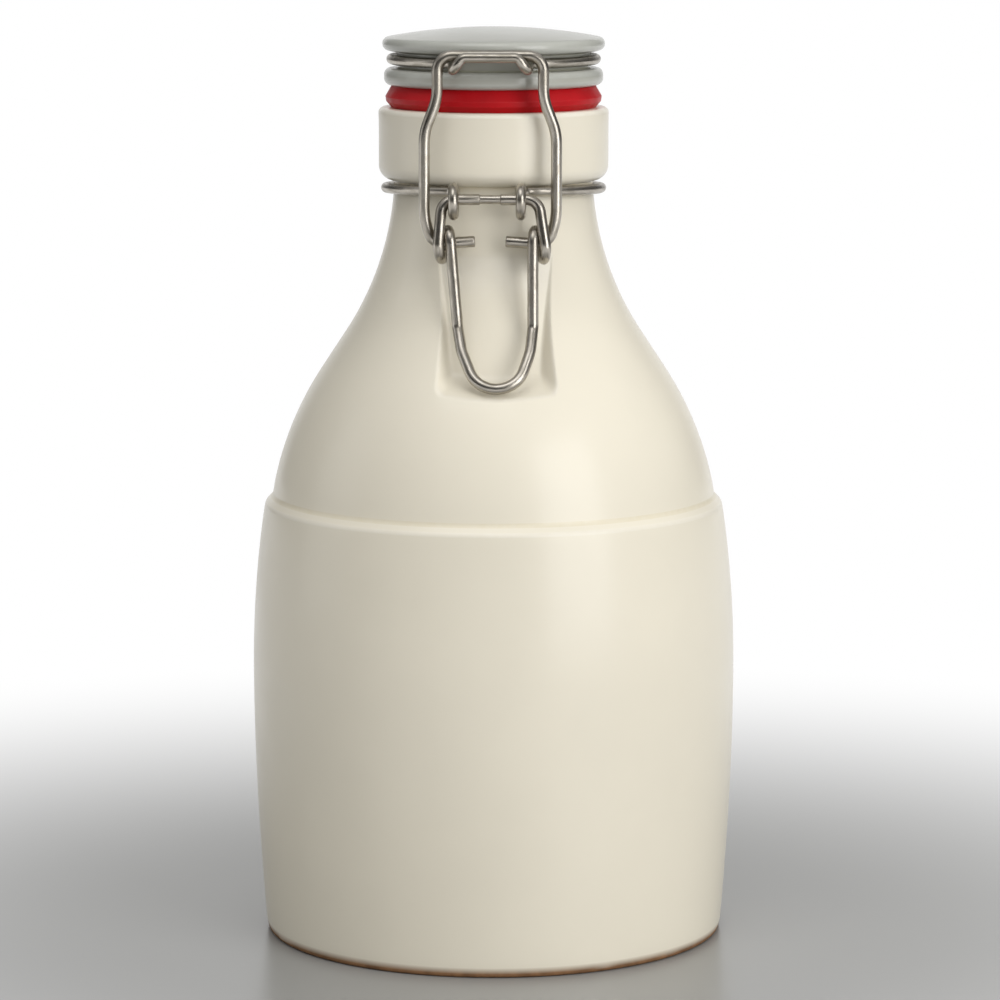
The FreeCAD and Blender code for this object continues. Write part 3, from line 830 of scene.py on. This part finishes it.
def build_lid_wire_mesh(s, lid, bail, seat):
    height = seat + lid.lower_flange + lid.groove / 2
    thick = s.ring_wire
    radius = lid.groove_radius + s.wire_gap + thick / 2
    bar_back = s.hinge_back + thick + s.wire_gap
    bar_height = s.neck_height - bar_back * math.tan(s.neck_tilt)
    loop = thick + s.wire_gap
    hinge = s.hinge_half_width
    first_turn, last_turn, turn_steps = -180, 90, 6
    wrap = coil(-bar_back, bar_height, loop, first_turn, last_turn, turn_steps, -hinge, -hinge)
    end = on_turn(-bar_back, bar_height, loop, last_turn, -hinge)
    leg_top = Vector((-hinge, s.hinge_back, height))
    rear = leave_angle(radius, hinge, s.hinge_bend)
    turn_rear = Vector((-hinge, turn_off(radius, rear, hinge), height))
    front = leave_angle(radius, s.hook_half_width, s.hook_ring_bend)
    reach = turn_off(radius, front, s.hook_half_width)
    turn_front = Vector((-s.hook_half_width, -reach, height))
    lift = Vector((0.0, 0.0, height))
    ring = ring_corners(radius, front, math.pi - rear, RING_STEPS)
    ring = [point + lift for point in ring]
    bail_play, bar_bend = 1.5 * s.wire_gap, 0.8 * s.hook_bend
    bar_front = bail.front + s.lever_wire / 2 + thick / 2 + bail_play
    valley = Vector((-s.hook_half_width, -bar_front, s.hook_valley))
    corner = Vector((-s.hook_bar_half, -bar_front, s.hook_bar_height))
    half = [end] + wrap[::-1] + [leg_top, turn_rear] + ring[::-1]
    half += [turn_front, valley, corner]
    bends = [loop * TURN_SHARE] * len(wrap) + [s.hinge_bend] * 2
    bends += [radius * RING_SHARE] * RING_STEPS
    bends += [s.hook_ring_bend, s.hook_bend, bar_bend]
    route = clamp_route(half, half, bends, s.clamp_turn)
    return wire_mesh("lid_ring_wire", cut_ends(route, thick / 2, s.cut_bevel))


def build_lever_mesh(s, wires):
    """One bent wire whose two ends meet on a slimmer pin, so its skin is a closed ring."""
    bar_height = wires.eye_height + s.bar_rise
    radius, pin = wires.lever_wire / 2, s.pin_diameter / 2
    bar_end = Vector((-s.pin_length / 2, -wires.eye_front, bar_height))
    shoulder = Vector((-s.shoulder, -wires.eye_front, bar_height))
    outer = s.coil_half_spacing + s.coil_shift / 2
    inner = s.coil_half_spacing - s.coil_shift / 2
    first_turn, last_turn, turn_steps = 169, 529, 9
    place = (s.coil_front, s.coil_height, s.coil_radius)
    turn = coil(*place, first_turn, last_turn, turn_steps, -outer, -inner)
    kink = Vector((-s.kink_half_width, -s.kink_front, s.kink_height))
    share = (s.kink_height - s.waist_height) / (s.kink_height - s.tip_height)
    waist_front = s.kink_front + (s.tip_front - s.kink_front) * share
    waist = Vector((-s.waist_half_width, -waist_front, s.waist_height))
    tip = Vector((0.0, -s.tip_front, s.tip_height))

    def leaned(point):
        part = max((bar_height - point.z) / (bar_height - s.tip_height), 0.0)
        return Vector((point.x + s.lean * part, point.y, point.z))

    half = [bar_end, shoulder] + turn + [kink, waist]
    down = [s.bend] + [s.coil_radius * TURN_SHARE] * len(turn) + [s.kink_bend, s.waist_bend]
    around = Matrix.Rotation(wires.clamp_turn, 3, "Z")
    corners = [around @ leaned(point) for point in half + [tip] + mirrored(half)[::-1]]
    stations = rounded_route(corners, down + [s.tip_bend] + down[::-1])
    rings = cut_ends(stations, radius, wires.cut_bevel)
    first, last = rings[0], rings[-1]
    reach = (first[0] - last[0]).length
    pin_rings, corner_cut = (0.08, 0.36, 0.64, 0.92), 0.6
    rings.append((last[0], last[1], pin, corner_cut))
    for part in pin_rings:
        rings.append((last[0] + last[1] * reach * part, last[1], pin, 0.0))
    rings.append((first[0], first[1], pin, corner_cut))
    return wire_mesh("lever_wire", rings, closed=True)


def build_bail_mesh(s, wires, lever):
    foot = lever.coil_height + s.stub_lift
    drop = s.height - foot

    def at(half_width, height):
        part = (s.height - height) / drop
        front = s.front + (lever.coil_front - s.front) * part
        return Vector((-half_width, -front, height))

    half = [
        Vector((-s.stub_end, -lever.coil_front, foot + s.stub_rise)),
        at(s.foot_half_width, foot),
        at(s.lower_half_width, s.taper_height),
        at(s.lower_half_width, s.jog_bottom),
        at(s.half_width, s.jog_top),
        at(s.half_width, s.height),
    ]
    bends = [s.foot_bend, s.taper_bend, s.jog_bend, s.jog_bend, s.corner]
    route = clamp_route(half, half, bends, wires.clamp_turn)
    return wire_mesh("bail_wire", cut_ends(route, wires.lever_wire / 2, wires.cut_bevel))


# --- shader helpers ---

def place_node(tree, kind, sockets=None, **options):
    """Adds a shader node; sockets holds values, or outputs to join to its inputs."""
    made = tree.nodes.new("ShaderNode" + kind)
    for option, value in options.items():
        setattr(made, option, value)
    for socket, value in (sockets or {}).items():
        if isinstance(value, bpy.types.NodeSocket):
            tree.links.new(value, made.inputs[socket])
        else:
            made.inputs[socket].default_value = value
    return made


def reckon(tree, operation, *values):
    sockets = dict(enumerate(values))
    return place_node(tree, "Math", sockets, operation=operation).outputs[0]


def ramp(tree, value, low, high, to_low=0.0, to_high=1.0):
    """Value from low to high, smoothly, as to_low to to_high."""
    sockets = {"Value": value, "From Min": low, "From Max": high}
    sockets.update({"To Min": to_low, "To Max": to_high})
    made = place_node(tree, "MapRange", sockets, interpolation_type="SMOOTHSTEP")
    return made.outputs["Result"]


def blended(tree, share, first, second, blend_type="MIX"):
    """Mix of two colours, each of them a plain colour or an output that gives one."""
    def full(colour):
        return colour if isinstance(colour, bpy.types.NodeSocket) else (*colour, 1.0)

    sockets = {0: share, 6: full(first), 7: full(second)}
    return place_node(tree, "Mix", sockets, data_type="RGBA", blend_type=blend_type).outputs[2]


def mark(tree, label):
    return place_node(tree, "Attribute", attribute_name=label).outputs["Fac"]


def object_place(tree):
    return place_node(tree, "TexCoord").outputs["Object"]


def new_group(name, inputs, outputs):
    """Empty shader node group with its sockets, and its input and output nodes."""
    group = bpy.data.node_groups.new(name, "ShaderNodeTree")
    for label in inputs:
        group.interface.new_socket(label, in_out="INPUT", socket_type="NodeSocketFloat")
    for label in outputs:
        group.interface.new_socket(label, in_out="OUTPUT", socket_type="NodeSocketFloat")
    entry = group.nodes.new("NodeGroupInput")
    leave = group.nodes.new("NodeGroupOutput")
    return group, entry.outputs, leave.inputs


def noise_at(tree, vector, scale, detail=2.0, roughness=0.5):
    sockets = {"Vector": vector, "Scale": scale, "Detail": detail, "Roughness": roughness}
    return place_node(tree, "TexNoise", sockets).outputs["Fac"]


def uneven_tone_group():
    """Slow change of tone over a surface: 1 on average, and Spread more or less."""
    group, given, out = new_group("Uneven tone", ["Scale", "Spread"], ["Tone"])
    field = noise_at(group, object_place(group), given["Scale"], 3.0)
    low = reckon(group, "SUBTRACT", 1.0, given["Spread"])
    high = reckon(group, "ADD", 1.0, given["Spread"])
    group.links.new(ramp(group, field, 0.3, 0.7, low, high), out["Tone"])
    return group


def fine_relief_group():
    """Height of a slow swell with a finer one on it."""
    group, given, out = new_group("Fine relief", ["Scale", "Fineness"], ["Height"])
    where = object_place(group)
    slow = noise_at(group, where, given["Scale"], 2.0)
    fine = noise_at(group, where, reckon(group, "MULTIPLY", given["Scale"], given["Fineness"]))
    together = reckon(group, "ADD", reckon(group, "MULTIPLY", fine, 0.3), slow)
    group.links.new(together, out["Height"])
    return group


def speck_group():
    """Scattered specks: cells of a pattern, of which Share have a speck of Size."""
    group, given, out = new_group("Specks", ["Scale", "Share", "Size"], ["Mask"])
    where = object_place(group)
    cells = place_node(group, "TexVoronoi", {"Vector": where, "Scale": given["Scale"]})
    split = place_node(group, "SeparateColor", {"Color": cells.outputs["Color"]})
    chosen = reckon(group, "LESS_THAN", split.outputs[0], given["Share"])
    width = reckon(group, "MULTIPLY", given["Size"], split.outputs[1])
    edge = reckon(group, "MULTIPLY", width, 0.5)
    spot = ramp(group, cells.outputs["Distance"], edge, width, 1.0, 0.0)
    group.links.new(reckon(group, "MULTIPLY", spot, chosen), out["Mask"])
    return group


def edge_tone_group():
    """Masks, broken up a little, for edges, where a finish thins and a painted highlight goes, and
    for corners, where it gathers and painted shade goes.
    """
    group, given, out = new_group("Edge tone", ["Scale"], ["Thin", "Pooled and shaded"])
    turn = mark(group, "edge")
    broken = noise_at(group, object_place(group), given["Scale"], 3.0)
    share = ramp(group, broken, 0.25, 0.75, 0.6, 1.0)
    thin_and_lit = reckon(group, "MULTIPLY", ramp(group, turn, 0.05, 0.9), share)
    pooled_and_shaded = reckon(group, "MULTIPLY", ramp(group, turn, -0.05, -0.8), share)
    group.links.new(thin_and_lit, out["Thin"])
    group.links.new(pooled_and_shaded, out["Pooled and shaded"])
    return group


def effect(tree, name, maker, **values):
    """Places a shared effect in a material, building its group the first time."""
    group = bpy.data.node_groups.get(name) or maker()
    made = tree.nodes.new("ShaderNodeGroup")
    made.node_tree = group
    for label, value in values.items():
        made.inputs[label.capitalize()].default_value = value
    return made.outputs


def uneven_tone(tree, scale, spread):
    return effect(tree, "Uneven tone", uneven_tone_group, scale=scale, spread=spread)["Tone"]


def fine_relief(tree, scale, fineness):
    found = effect(tree, "Fine relief", fine_relief_group, scale=scale, fineness=fineness)
    return found["Height"]


def specks(tree, scale, share, size):
    found = effect(tree, "Specks", speck_group, scale=scale, share=share, size=size)
    return found["Mask"]


def edged(tree, edges, plain, pooled_and_shaded, thin_and_lit):
    """Plain colour, with the darker one in corners for pooled finish and painted shade, and the
    lighter one on edges for thin finish and a painted highlight.
    """
    colour = blended(tree, edges["Pooled and shaded"], plain, pooled_and_shaded)
    return blended(tree, edges["Thin"], colour, thin_and_lit)


def toned(tree, colour, tone):
    """Colour made lighter or darker by a tone."""
    grey = place_node(tree, "CombineColor", {0: tone, 1: tone, 2: tone}).outputs[0]
    return blended(tree, 1.0, colour, grey, "MULTIPLY")


def new_material(name, constants):
    """Material with a Principled shader whose constants are set on its own sockets."""
    material = bpy.data.materials.new(name)
    material.use_nodes = True
    tree = material.node_tree
    shader = tree.nodes["Principled BSDF"]
    for socket, value in constants.items():
        shader.inputs[socket].default_value = value
    return material, tree, shader.inputs


def bumped(tree, height, strength, distance):
    sockets = {"Height": height, "Strength": strength, "Distance": distance}
    return place_node(tree, "Bump", sockets).outputs["Normal"]


# --- finishes ---

def cream_glaze(f):
    """Glossy cream glaze over clay, bare at the very foot."""
    constants = {"IOR": 1.45, "Specular IOR Level": 0.3, "Coat Roughness": 0.2, "Coat IOR": 1.45}
    material, tree, shader = new_material("cream_glaze", constants)
    edges = effect(tree, "Edge tone", edge_tone_group, scale=420.0)
    # Edges lighter and corners darker: partly thin and pooled glaze, partly a painted highlight and
    # painted shade.
    colour = edged(tree, edges, f.glaze, f.glaze_pooled_shade, f.glaze_thin_highlight)
    colour = toned(tree, colour, uneven_tone(tree, scale=22.0, spread=0.018))
    spot = specks(tree, scale=62.0, share=0.018, size=0.075)
    colour = blended(tree, spot, colour, f.iron_speck)
    bare = mark(tree, "bare")
    clay = toned(tree, f.clay, uneven_tone(tree, scale=260.0, spread=0.2))
    tree.links.new(blended(tree, bare, colour, clay), shader["Base Color"])
    clay_roughness, coat, pit_depth = 0.85, 0.5, -0.5
    tone = uneven_tone(tree, scale=60.0, spread=0.1)
    rough = reckon(tree, "MULTIPLY", tone, f.glaze_roughness)
    rough = ramp(tree, bare, 0.0, 1.0, rough, clay_roughness)
    tree.links.new(rough, shader["Roughness"])
    tree.links.new(ramp(tree, bare, 0.0, 1.0, coat, 0.0), shader["Coat Weight"])
    relief = fine_relief(tree, scale=75.0, fineness=7.0)
    pits = specks(tree, scale=240.0, share=0.05, size=0.12)
    height = reckon(tree, "ADD", relief, reckon(tree, "MULTIPLY", pits, pit_depth))
    tree.links.new(bumped(tree, height, strength=0.25, distance=0.00012), shader["Normal"])
    return material


def white_porcelain(f):
    """Cooler, greyer glaze of the lid."""
    constants = {"IOR": 1.5, "Coat Weight": 0.6, "Coat Roughness": 0.14, "Coat IOR": 1.5}
    material, tree, shader = new_material("white_porcelain", constants)
    edges = effect(tree, "Edge tone", edge_tone_group, scale=300.0)
    # Rims lighter and corners darker: a painted highlight on the rims, painted shade in the corners
    # and the groove.
    colour = edged(tree, edges, f.porcelain, f.porcelain_groove_shade, f.porcelain_thin_highlight)
    colour = toned(tree, colour, uneven_tone(tree, scale=45.0, spread=0.02))
    tree.links.new(colour, shader["Base Color"])
    tone = uneven_tone(tree, scale=90.0, spread=0.12)
    rough = reckon(tree, "MULTIPLY", tone, f.porcelain_roughness)
    tree.links.new(rough, shader["Roughness"])
    height = fine_relief(tree, scale=130.0, fineness=6.0)
    tree.links.new(bumped(tree, height, strength=0.2, distance=0.0001), shader["Normal"])
    return material


def red_rubber(f):
    """Satin red rubber, paler on its edges as a painted highlight."""
    constants = {"IOR": 1.4, "Specular IOR Level": 0.3}
    material, tree, shader = new_material("red_rubber", constants)
    edges = effect(tree, "Edge tone", edge_tone_group, scale=500.0)
    # Paler red on the edges: a painted highlight.
    most_edge_highlight = 0.55
    edge_highlight = reckon(tree, "MULTIPLY", edges["Thin"], most_edge_highlight)
    colour = blended(tree, edge_highlight, f.rubber, f.rubber_edge_highlight)
    colour = toned(tree, colour, uneven_tone(tree, scale=120.0, spread=0.06))
    tree.links.new(colour, shader["Base Color"])
    tone = uneven_tone(tree, scale=200.0, spread=0.15)
    rough = reckon(tree, "MULTIPLY", tone, f.rubber_roughness)
    tree.links.new(rough, shader["Roughness"])
    height = fine_relief(tree, scale=420.0, fineness=5.0)
    tree.links.new(bumped(tree, height, strength=0.25, distance=0.00008), shader["Normal"])
    return material


def steel_wire(f):
    """Drawn stainless wire: fine lines along it, duller where handled, bare cut ends."""
    constants = {"IOR": 2.4, "Anisotropic": 0.3, "Metallic": 1.0}
    material, tree, shader = new_material("steel_wire", constants)
    most_dull, dull_roughness, cut_roughness = 0.75, 0.08, 0.45
    grain = place_node(tree, "Attribute", attribute_name="grain").outputs["Vector"]
    lines_at = place_node(tree, "Mapping", {"Vector": grain, "Scale": (7.0, 7.0, 0.05)})
    lines = noise_at(tree, lines_at.outputs[0], 3.0, 4.0, 0.65)
    patches_at = place_node(tree, "Mapping", {"Vector": grain, "Scale": (0.8, 0.8, 0.14)})
    patches = noise_at(tree, patches_at.outputs[0], 1.6, 3.0)
    cut = mark(tree, "cut")
    dull = ramp(tree, patches, 0.42, 0.68, 0.0, most_dull)
    colour = blended(tree, dull, f.steel, f.steel_dull)
    colour = toned(tree, colour, ramp(tree, lines, 0.3, 0.7, 0.88, 1.06))
    tree.links.new(colour, shader["Base Color"])
    rough = ramp(tree, lines, 0.35, 0.7, 0.22, 0.35)
    rough = reckon(tree, "ADD", rough, reckon(tree, "MULTIPLY", dull, dull_roughness))
    rough = ramp(tree, cut, 0.0, 1.0, rough, cut_roughness)
    tree.links.new(rough, shader["Roughness"])
    tree.links.new(bumped(tree, lines, strength=0.22, distance=0.00006), shader["Normal"])
    return material


def floor_finish(s):
    """Pale floor that turns into the white background away from the bottle."""
    material, tree, shader = new_material("pale_floor", {"Roughness": 0.28, "IOR": 1.4})
    fade_from, fade_to = 0.1, 0.42
    where = place_node(tree, "NewGeometry").outputs["Position"]
    flat = place_node(tree, "VectorMath", {0: where, 1: (1.0, 1.0, 0.0)}, operation="MULTIPLY")
    away = place_node(tree, "VectorMath", {0: flat.outputs[0]}, operation="LENGTH")
    distance = away.outputs["Value"]
    mottle = ramp(tree, noise_at(tree, where, 9.0, 3.0), 0.3, 0.7, 0.985, 1.0)
    colour = toned(tree, s.floor, mottle)
    tree.links.new(colour, shader["Base Color"])
    rays = place_node(tree, "LightPath").outputs
    seen = reckon(tree, "MAXIMUM", rays["Is Camera Ray"], rays["Is Glossy Ray"])
    seen = reckon(tree, "MAXIMUM", seen, rays["Is Transmission Ray"])
    share = reckon(tree, "MULTIPLY", ramp(tree, distance, fade_from, fade_to), seen)
    white = place_node(tree, "Emission", {"Strength": 1.0}).outputs[0]
    output = tree.nodes["Material Output"]
    lit = tree.nodes["Principled BSDF"].outputs[0]
    mixed = place_node(tree, "MixShader", {0: share, 1: lit, 2: white}).outputs[0]
    tree.links.new(mixed, output.inputs["Surface"])
    return material


# --- studio ---

def studio_world(s):
    """White to the camera, and soft light that leans to the right. What gloss and metal
    show is dark, and darkest in front, but bright behind the bottle and overhead."""
    world = bpy.data.worlds.new("studio")
    bpy.context.scene.world = world
    world.use_nodes = True
    tree = world.node_tree
    heading = place_node(tree, "TexCoord").outputs["Generated"]
    rays = place_node(tree, "LightPath").outputs
    light_from, light_rise = math.radians(55), 0.25
    right = Vector((math.sin(light_from), -math.cos(light_from), light_rise))
    lean = place_node(
        tree, "VectorMath", {0: heading, 1: right.normalized()}, operation="DOT_PRODUCT"
    ).outputs["Value"]
    soft = reckon(tree, "MULTIPLY_ADD", lean, s.ambient_lean, s.ambient)
    split = place_node(tree, "SeparateXYZ", {0: heading}).outputs
    behind = ramp(tree, split["Y"], 0.8, 0.97, 0.1, 1.0)
    front = ramp(tree, split["Y"], -0.9, -0.45, 0.12, 1.0)
    shown = reckon(tree, "MULTIPLY", behind, front)
    overhead = ramp(tree, split["Z"], 0.35, 0.8, 0.0, 0.5)
    shown = reckon(tree, "ADD", shown, overhead)
    glossy = rays["Is Glossy Ray"]
    level = place_node(tree, "Mix", {0: glossy, 2: soft, 3: shown}).outputs[0]
    level = place_node(tree, "Mix", {0: rays["Is Camera Ray"], 2: level, 3: 1.0}).outputs[0]
    tree.links.new(level, tree.nodes["Background"].inputs["Strength"])
    tree.nodes["Background"].inputs["Color"].default_value = (1.0, 1.0, 1.0, 1.0)


def soft_box(name, brightness, azimuth, elevation, distance, width, height, aim):
    """Rectangular lamp that faces the aim; azimuth is from the front towards the right."""
    lamp = bpy.data.lights.new(name, "AREA")
    lamp.shape = "RECTANGLE"
    lamp.size, lamp.size_y = width, height
    lamp.energy = brightness * math.pi * width * height
    box = bpy.data.objects.new(name, lamp)
    bpy.context.scene.collection.objects.link(box)
    side, up = math.radians(azimuth), math.radians(elevation)
    away = Vector(
        (math.sin(side) * math.cos(up), -math.cos(side) * math.cos(up), math.sin(up))
    )
    box.location = aim + away * distance
    box.rotation_euler = away.to_track_quat("Z", "Y").to_euler()
    box.visible_camera = False


def build_studio(s):
    middle = (CAD_BOX[0] + CAD_BOX[1]) / 2
    studio_world(s)
    key_place = {"azimuth": 41, "elevation": 9, "distance": 1.25}
    fill_place = {"azimuth": -90, "elevation": 8, "distance": 1.3}
    top_place = {"azimuth": -15, "elevation": 64, "distance": 1.2}
    soft_box("key_lamp", s.key, aim=middle, width=0.72, height=1.3, **key_place)
    soft_box("fill_lamp", s.fill, aim=middle, width=0.62, height=1.1, **fill_place)
    soft_box("top_lamp", s.top, aim=middle, width=0.8, height=0.6, **top_place)
    first_ring, ring_growth, ring_count, columns = 0.05, 1.35, 16, 96
    floor_gap = 0.05 * MM
    ring_radii = [first_ring * ring_growth ** step for step in range(ring_count)]
    outline = [Vector((0.0, 0.0))] + [Vector((radius, 0.0)) for radius in ring_radii]
    mesh = turned_mesh("floor", outline, even_angles(columns), as_turned)
    mesh.flip_normals()
    mesh.materials.append(floor_finish(s))
    floor = bpy.data.objects.new("floor", mesh)
    floor.location.z = CAD_BOX[0].z - floor_gap
    bpy.context.scene.collection.objects.link(floor)
    camera_data = bpy.data.cameras.new("camera")
    camera = bpy.data.objects.new("camera", camera_data)
    bpy.context.scene.collection.objects.link(camera)
    camera.location = (0.0, -s.camera_distance, s.camera_height)
    camera.rotation_euler = (math.pi / 2 - s.camera_pitch, 0.0, 0.0)
    camera_data.lens = s.camera_lens
    camera_data.sensor_width = 36.0
    camera_data.shift_x = s.camera_shift
    camera_data.clip_start, camera_data.clip_end = 0.05, 40.0
    bpy.context.scene.camera = camera
    bpy.context.scene.view_settings.view_transform = "Standard"


# --- operators ---

def install(mesh, node, finish):
    """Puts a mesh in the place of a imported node, with its finish."""
    if not mesh.polygons:
        raise RuntimeError(f"{mesh.name} came out empty")
    mesh.materials.append(finish)
    piece = bpy.data.objects.new(mesh.name, mesh)
    bpy.context.scene.collection.objects.link(piece)
    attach(piece, "root")
    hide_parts(node)


def settings(context):
    return context.scene.growler


class GROWLER_OT_bottle(bpy.types.Operator):
    """Build the glazed bottle with its ledge, recess and collar"""
    bl_idname = "growler.bottle"
    bl_label = "Bottle"

    def execute(self, context):
        s = settings(context)
        mesh = build_bottle_mesh(s.bottle, s.recess)
        install(mesh, "bottle", cream_glaze(s.finishes))
        return {"FINISHED"}


class GROWLER_OT_gasket(bpy.types.Operator):
    """Build the red rubber gasket"""
    bl_idname = "growler.gasket"
    bl_label = "Gasket"

    def execute(self, context):
        s = settings(context)
        mesh = build_gasket_mesh(s.gasket)
        install(mesh, "gasket", red_rubber(s.finishes))
        return {"FINISHED"}


class GROWLER_OT_lid(bpy.types.Operator):
    """Build the porcelain lid"""
    bl_idname = "growler.lid"
    bl_label = "Lid"

    def execute(self, context):
        s = settings(context)
        mesh = build_lid_mesh(s.lid, GASKET_BOX[1].z)
        install(mesh, "lid", white_porcelain(s.finishes))
        return {"FINISHED"}


class GROWLER_OT_wires(bpy.types.Operator):
    """Build the four wires of the closure"""
    bl_idname = "growler.wires"
    bl_label = "Closure wires"

    def execute(self, context):
        s = settings(context)
        finish = steel_wire(s.finishes)
        seat = GASKET_BOX[1].z
        meshes = {
            "neck_wire": build_neck_wire_mesh(s.wires),
            "lid_wire": build_lid_wire_mesh(s.wires, s.lid, s.bail, seat),
            "lever": build_lever_mesh(s.lever, s.wires),
            "bail": build_bail_mesh(s.bail, s.wires, s.lever),
        }
        for node, mesh in meshes.items():
            install(mesh, node, finish)
        return {"FINISHED"}


class GROWLER_OT_studio(bpy.types.Operator):
    """Set up the floor, the lamps and the camera"""
    bl_idname = "growler.studio"
    bl_label = "Studio"

    def execute(self, context):
        build_studio(settings(context).studio)
        return {"FINISHED"}


class GROWLER_PT_panel(bpy.types.Panel):
    """Lists the operators and every size and colour"""
    bl_idname = "GROWLER_PT_panel"
    bl_label = "Growler"
    bl_space_type = "VIEW_3D"
    bl_region_type = "UI"
    bl_category = "Growler"

    def draw(self, context):
        for operator in OPERATORS:
            self.layout.operator(operator.bl_idname)
        whole = settings(context)
        for group_name in GrowlerSettings.__annotations__:
            group = getattr(whole, group_name)
            box = self.layout.box()
            box.label(text=group_name.capitalize())
            for field in group.__annotations__:
                box.prop(group, field)


SETTING_GROUPS = (
    BottleSizes,
    RecessSizes,
    GasketSizes,
    LidSizes,
    WireSizes,
    LeverSizes,
    BailSizes,
    Finishes,
    StudioSettings,
    GrowlerSettings,
)
OPERATORS = (
    GROWLER_OT_bottle,
    GROWLER_OT_gasket,
    GROWLER_OT_lid,
    GROWLER_OT_wires,
    GROWLER_OT_studio,
)


def register():
    for made in SETTING_GROUPS + OPERATORS + (GROWLER_PT_panel,):
        bpy.utils.register_class(made)
    bpy.types.Scene.growler = bpy.props.PointerProperty(type=GrowlerSettings)


def unregister():
    del bpy.types.Scene.growler
    for made in reversed(SETTING_GROUPS + OPERATORS + (GROWLER_PT_panel,)):
        bpy.utils.unregister_class(made)


def main():
    register()
    for operator in OPERATORS:
        module, name = operator.bl_idname.split(".")
        getattr(getattr(bpy.ops, module), name)()


if __name__ == "__main__":
    main()
